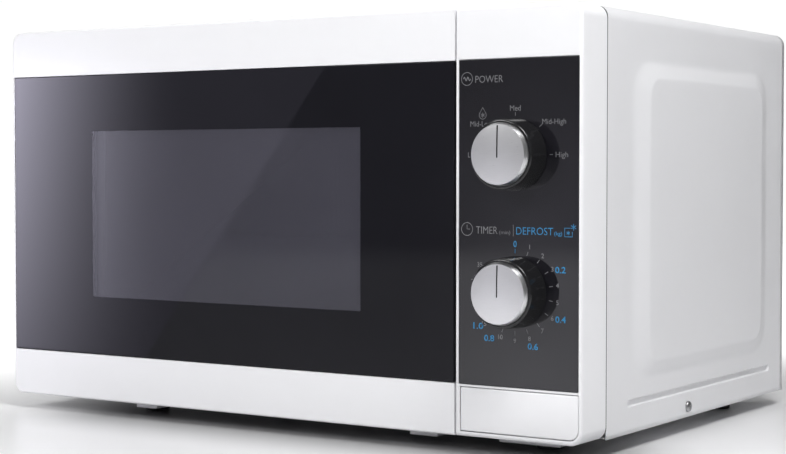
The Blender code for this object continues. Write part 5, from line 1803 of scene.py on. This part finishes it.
# ---------------------------------------------------------------- oven
@dataclass
class Oven:
    """The cooking chamber, what hangs on it and what turns in it.

    Attributes:
        wall: Thickness of the tray.
    """

    wall: float = 0.0040

    def build(self) -> None:
        """Builds the chamber's pieces."""
        Workshop.eased(
            "cabinet",
            ("chamber", "oven_cavity", ENAMEL, 0.0004),
            ("front_plate", "cavity_front_plate", PAINT, 0.0003),
            ("waveguide_box", "waveguide", GALVANISED, 0.0004),
            ("waveguide_sheet", "waveguide_cover", SHEET_MICA, 0.0001),
            ("lamp_socket", "lamp_holder", GALVANISED, 0.0003),
            ("hinge_lower", "lower_hinge", GALVANISED, 0.0003),
            ("hinge_upper", "upper_hinge", GALVANISED, 0.0003),
        )
        Workshop.paint(BULB, "lamp_bulb")
        self.tray()
        Workshop.eased("turntable", ("coupler", "turntable_coupler", GREY, 0.0005))
        Workshop.eased("ring", ("roller_carrier", "roller_ring", GREY, 0.0004))
        for i in (1, 2, 3):
            Workshop.eased(f"wheel_{i}", (f"roller_wheel_{i}", f"roller_{i}", GREY, 0.0005))

    def tray(self) -> None:
        """The glass tray, a turned dish: a flat middle, a shallow step and a rounded rim."""
        low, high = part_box("glass_tray")
        r = (high.x - low.x) / 2
        wall, rise = self.wall, high.z - low.z
        top = [(0.0, wall), (r - 0.030, wall), (r - 0.024, wall + 0.0006), (r - 0.010, wall + 0.0030)]
        rim = [(r - 0.0036, rise - 0.0006), (r - 0.0022, rise), (r - 0.0007, rise - 0.0005)]
        under = [(r, rise - 0.0022), (r - 0.006, 0.0026), (r - 0.020, 0.0002), (r - 0.028, 0.0), (0.0, 0.0)]
        centre = middle("glass_tray")
        dish = Shape().turned(top + rim + under, (centre.x, centre.y, low.z), Axis.Z, 128)
        Workshop.piece("tray_dish", dish, TRAY_GLASS, "turntable", "glass_tray", angle=40)


@dataclass
class Works:
    """The parts behind the control panel and at the door switches.

    Attributes:
        width: Width of the rounding of their edges.
    """

    width: float = 0.0003

    def build(self) -> None:
        """Gives each part its finish and eased edges."""
        Workshop.eased("cabinet", *((*row, self.width) for row in (
            ("timer_case", "timer_unit", GREY),
            ("selector_case", "power_selector", GREY),
            ("latch_carrier", "latch_board", NATURAL),
            ("switch_primary", "primary_switch", DARK),
            ("switch_monitor", "monitor_switch", DARK),
            ("switch_secondary", "secondary_switch", DARK),
            ("magnetron_case", "magnetron_body", GALVANISED),
            ("antenna", "magnetron_antenna", ALUMINIUM),
            ("laminated_core", "transformer_core", CORE),
            ("winding_primary", "primary_winding", WINDING),
            ("winding_secondary", "secondary_winding", WINDING),
            ("capacitor_can", "capacitor", ALUMINIUM),
            ("fan_housing", "fan_shroud", GREY),
            ("fan_drive", "fan_motor", GALVANISED),
            ("air_baffle", "air_guide", GREY),
            ("filter_plate", "filter_board", BOARD),
            ("table_drive", "turntable_motor", GALVANISED),
        )))
        Workshop.eased("lever", ("rocking_lever", "release_lever", GREY, self.width))


@dataclass
class Fan:
    """The fan wheel: a turned hub and its blades.

    Attributes:
        hub: Radius of the hub.
        hub_wall: Thickness of its wall and of its front.
        blades: Number of blades.
        chord: Half of a blade's width at its tip, and the share of that at its root.
        pitch: A blade's pitch at its root and at its tip, in degrees.
        bow: How far a blade bows back.
        thick: Half of its thickness.
        squash: Share of a blade's depth that is left, so that it stays in the wheel's width.
        rows: Rows of points along a blade.
    """

    hub: float = 0.010
    hub_wall: Flat = (0.0015, 0.004)
    blades: int = 5
    chord: Flat = (0.0085, 0.85)
    pitch: Flat = (42.0, 26.0)
    bow: float = 0.0012
    thick: float = 0.0005
    squash: float = 0.92
    rows: int = 12

    def build(self) -> None:
        """Builds the wheel as one piece."""
        low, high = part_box("fan_wheel")
        centre = middle("fan_wheel")
        hub, depth = self.hub, high.y - low.y
        wall, front = self.hub_wall
        profile = [(0.0, 0.0004), (hub - 0.002, 0.0), (hub, 0.0015), (hub, depth), (hub - wall, depth)]
        profile += [(hub - wall, front), (0.0, front)]
        shape = Shape().turned(profile, (centre.x, low.y, centre.z), Axis.Y, 48)
        for turn in np.arange(self.blades) * 2 * math.pi / self.blades:
            shape.rings(list(self.blade((high.z - low.z) / 2, float(turn)) + np.array(centre)))
        Workshop.piece("fan_blades", shape, DARK, "fan", "fan_wheel", angle=40)

    def blade(self, reach: float, turn: float) -> np.ndarray:
        """One blade, a closed ring of points for each radius.

        A blade is a surface of radius and width: at each radius its line is turned about the radius by a
        pitch that falls from the hub to the tip, and it bows back by a parabola. A second layer gives its
        thickness.

        Args:
            reach: Radius of the wheel.
            turn: The blade's angle about the wheel's axis, in radians.

        Returns:
            The points about the wheel's middle.
        """
        radius = np.linspace(self.hub - 0.001, reach - 0.0004, self.rows)[:, None]
        pitch = np.radians(np.linspace(*self.pitch, self.rows))[:, None]
        half = self.chord[0] * np.linspace(self.chord[1], 1.0, self.rows)[:, None]
        across = np.linspace(-1, 1, 9)[None, :]
        layers = []
        for thick in (-self.thick, self.thick):
            back = self.bow * (1 - across**2) + thick
            side = across * half * np.cos(pitch) + back * np.sin(pitch)
            up = across * half * np.sin(pitch) - back * np.cos(pitch)
            length = np.sqrt(np.maximum(radius**2 - side**2, 0))
            x = length * math.cos(turn) - side * math.sin(turn)
            z = length * math.sin(turn) + side * math.cos(turn)
            layers.append(np.stack([x, up * self.squash, z], axis=-1))
        return np.concatenate([layers[0], layers[1][:, ::-1]], axis=1)


# ---------------------------------------------------------------- studio
@dataclass
class Studio:
    """The floor, the lights and the camera.

    Attributes:
        eye: The camera's place.
        yaw: Its turn to the left of +Y, in degrees.
        pitch: Its downward tilt, in degrees.
        lens: Focal length in millimetres on a 36 mm sensor.
        sky: Light of the surroundings.
        sheen: Even light of the reflector.
        glow: Light that grows towards its outer end.
        panel_sheen: Light of the dim reflector before the panel.
        fade: Distances over which the floor's painted glow, seen by the camera only, rises so that it turns
            into the backdrop.
        centre: Where they are measured from.
        shade_line: Left end, right end and y of the line that the floor's painted shadow follows.
        shade: How far that painted shadow reaches, and the share of the floor's colour that is left on the
            line.
        lamps: Name, place, target, size and power in watts of each soft light.
    """

    eye: Point = (0.6638, -1.0077, 0.1660)
    yaw: float = 33.39
    pitch: float = 1.967
    lens: float = 79.97
    sky: float = 0.15
    sheen: float = 0.80
    glow: float = 22.5
    panel_sheen: float = 0.40
    fade: Flat = (0.25, 0.65)
    centre: Point = (0.10, 0.0, 0.0)
    shade_line: Point = (-0.13, 0.19, -0.120)
    shade: Flat = (0.095, 0.38)
    lamps: tuple[tuple[str, Point, Point, Flat, float], ...] = (
        ("overhead", (-0.3, 0.45, 1.6), (0.0, 0.1, 0.0), (1.0, 1.0), 6.0),
        ("front", (-0.95, -1.9, 1.30), (-0.1, 0.0, 0.13), (0.8, 0.6), 24.5),
        ("right", (0.62, -0.38, 0.95), (0.24, -0.02, 0.1), (0.4, 0.4), 9.6),
    )

    def build(self) -> None:
        """Sets up the stage."""
        self.camera()
        self.floor()
        self.world()
        for lamp in self.lamps:
            self.light(*lamp)
        self.soft_card()
        self.card()
        bpy.context.scene.view_settings.view_transform = "Standard"

    def camera(self) -> None:
        """The camera on its line of sight."""
        data = bpy.data.cameras.new("camera")
        data.lens = self.lens
        data.sensor_width = 36.0
        data.clip_start, data.clip_end = 0.05, 60.0
        eye = bpy.data.objects.new("camera", data)
        eye.location = self.eye
        eye.rotation_euler = (math.radians(90 - self.pitch), 0.0, math.radians(self.yaw))
        bpy.context.scene.collection.objects.link(eye)
        bpy.context.scene.camera = eye

    def floor(self) -> None:
        """A wide floor on a grid that is finer near the object."""
        line = np.sign(np.linspace(-1, 1, 21)) * np.abs(np.linspace(-1, 1, 21)) ** 2 * 2.6
        x, y = np.meshgrid(line, line, indexing="ij")
        mesh = Shape().grid(np.stack([x, y, np.full_like(x, -0.0002)], axis=-1)).mesh("floor")
        if mesh.polygons[0].normal.z < 0:
            mesh.flip_normals()
        mesh.materials.append(self.floor_material())
        floor = bpy.data.objects.new("floor", mesh)
        bpy.context.scene.collection.objects.link(floor)

    def floor_material(self) -> bpy.types.Material:
        """The floor's finish: far off it glows white for camera rays, painted light that turns it into the
        backdrop, and along the front its colour carries a painted shadow.

        Returns:
            The material.
        """
        made = Workshop.material(FLOOR)
        nodes = Nodes(made.node_tree)
        shader = made.node_tree.nodes["Principled BSDF"]
        # painted light: emission that grows with the distance, seen by the camera only, blends the floor into
        # the white backdrop
        backdrop_glow = nodes.eased_length(nodes.object_point(self.centre), self.fade)
        seen = nodes.add("ShaderNodeLightPath").outputs["Is Camera Ray"]
        nodes.link(nodes.math("MULTIPLY", backdrop_glow, seen), shader.inputs["Emission Strength"])
        shader.inputs["Emission Color"].default_value = (1.0, 1.0, 1.0, 1.0)
        # painted shadow: the floor's base colour is multiplied down along the object's front
        shadow_mix = nodes.add("ShaderNodeMix", data_type="RGBA", blend_type="MULTIPLY")
        shadow_mix.inputs["Factor"].default_value = 1.0
        nodes.link(shader.inputs["Base Color"].links[0].from_socket, shadow_mix.inputs["A"])
        nodes.link(self.front_shade(nodes), shadow_mix.inputs["B"])
        nodes.link(shadow_mix.outputs["Result"], shader.inputs["Base Color"])
        return made

    def front_shade(self, nodes: Nodes) -> bpy.types.NodeSocket:
        """A painted shadow on the floor along the object's front: the floor's colour lightens with the distance
        from a line.

        Args:
            nodes: Builder for the floor's tree.

        Returns:
            The socket of the share of the colour that is left.
        """
        left, right, line = self.shade_line
        x, y, _ = nodes.split(nodes.object_point((0.0, line, 0.0)))
        nearest = nodes.math("MINIMUM", nodes.math("MAXIMUM", x, left), right)
        offset = nodes.add("ShaderNodeCombineXYZ")
        nodes.link(nodes.math("SUBTRACT", x, nearest), offset.inputs[0])
        nodes.link(y, offset.inputs[1])
        reach, dark = self.shade
        return nodes.eased_length(offset.outputs[0], (0.0, reach), (dark, 1.0))

    def card(self) -> None:
        """A reflector beside the door: its slanting edge ends its sheen in the glass.

        Its light is an even part plus one that grows towards its outer end with about the square of the
        distance, and upwards in proportion to height.
        """
        depth, top = -0.43, 0.26
        outline = np.array([(-0.56, 0.0), (-0.3524, 0.0), (-0.1498, top), (-0.56, top)])
        nodes, glow, out = self.reflector("reflector", outline, depth, (0.85, 0.82, 1.0))
        x, _, z = nodes.split(nodes.object_point((-0.3036, depth, 0.0), (-1 / 0.206, 1.0, 1 / top)))
        outer = nodes.math("POWER", nodes.math("MAXIMUM", x, 0.0), 2.1)
        upward = nodes.math("MULTIPLY_ADD", z, 0.67, 0.33)
        growing = nodes.math("MULTIPLY", outer, upward)
        nodes.link(nodes.math("MULTIPLY_ADD", growing, self.glow, self.sheen), glow.inputs["Strength"])
        nodes.link(glow.outputs[0], out)

    def soft_card(self) -> None:
        """A dim reflector before the panel, which fades out towards its oval rim and lets light through."""
        centre, half = (0.03, -0.43, 0.07), (0.13, 0.21)
        outline = arc((0.0, 0.0), 1.0, 0, 360, 48)[:-1] * half + (centre[0], centre[2])
        nodes, glow, out = self.reflector("soft_reflector", outline, centre[1], (0.88, 0.86, 1.0))
        place = nodes.object_point(centre, (1 / half[0], 1.0, 1 / half[1]))
        fade = nodes.eased_length(place, (0.1, 1.0), (self.panel_sheen, 0.0))
        nodes.link(fade, glow.inputs["Strength"])
        both = nodes.add("ShaderNodeAddShader")
        nodes.link(glow.outputs[0], both.inputs[0])
        nodes.link(nodes.add("ShaderNodeBsdfTransparent").outputs[0], both.inputs[1])
        nodes.link(both.outputs[0], out)

    def reflector(
        self, name: str, outline: np.ndarray, depth: float, colour: Colour
    ) -> tuple[Nodes, bpy.types.Node, bpy.types.NodeSocket]:
        """Puts a card on the stage that only glossy surfaces see.

        Args:
            name: Its name.
            outline: Its corners, x and z.
            depth: Its y.
            colour: Its light's colour.

        Returns:
            A builder for its material's tree, the light's node and the socket for its surface.
        """
        mesh = Shape().cap(Axis.Y.place(outline, depth)).mesh(name, outwards=False)
        made = bpy.data.materials.new(name)
        made.use_nodes = True
        mesh.materials.append(made)
        card = bpy.data.objects.new(name, mesh)
        bpy.context.scene.collection.objects.link(card)
        card.visible_camera = card.visible_diffuse = card.visible_shadow = card.visible_transmission = False
        nodes = Nodes(made.node_tree)
        glow = nodes.add("ShaderNodeEmission", Color=(*colour, 1.0))
        return nodes, glow, made.node_tree.nodes["Material Output"].inputs["Surface"]

    def world(self) -> None:
        """Even surroundings: plain white where the camera sees them, dimmer as light."""
        world = bpy.data.worlds.new("studio")
        bpy.context.scene.world = world
        world.use_nodes = True
        nodes = Nodes(world.node_tree)
        background = world.node_tree.nodes["Background"]
        background.inputs["Color"].default_value = (1.0, 1.0, 1.0, 1.0)
        seen = nodes.add("ShaderNodeLightPath").outputs["Is Camera Ray"]
        nodes.link(nodes.math("MULTIPLY_ADD", seen, 1.02 - self.sky, self.sky), background.inputs["Strength"])

    def light(self, name: str, place: Point, target: Point, size: Flat, power: float) -> None:
        """Adds a rectangular soft light.

        Args:
            name: Its name.
            place: Where it stands.
            target: What it points at.
            size: Its width and height.
            power: Its power in watts.
        """
        data = bpy.data.lights.new(name, "AREA")
        data.shape = "RECTANGLE"
        data.size, data.size_y = size
        data.energy = power
        lamp = bpy.data.objects.new(name, data)
        lamp.location = place
        lamp.rotation_euler = (Vector(target) - Vector(place)).to_track_quat("-Z", "Y").to_euler()
        bpy.context.scene.collection.objects.link(lamp)


def main() -> None:
    """Builds every sub-assembly, then the studio."""
    logging.basicConfig(level=logging.INFO, format="%(message)s")
    for part in (Cover(), Cabinet(), Door(), ControlPanel(), Oven(), Works(), Fan()):
        part.build()
        LOG.info("%s is finished", type(part).__name__)
    for name in ("power", "timer"):
        Knob().build(name, f"{name}_control")
    Studio().build()


if __name__ == "__main__":
    main()
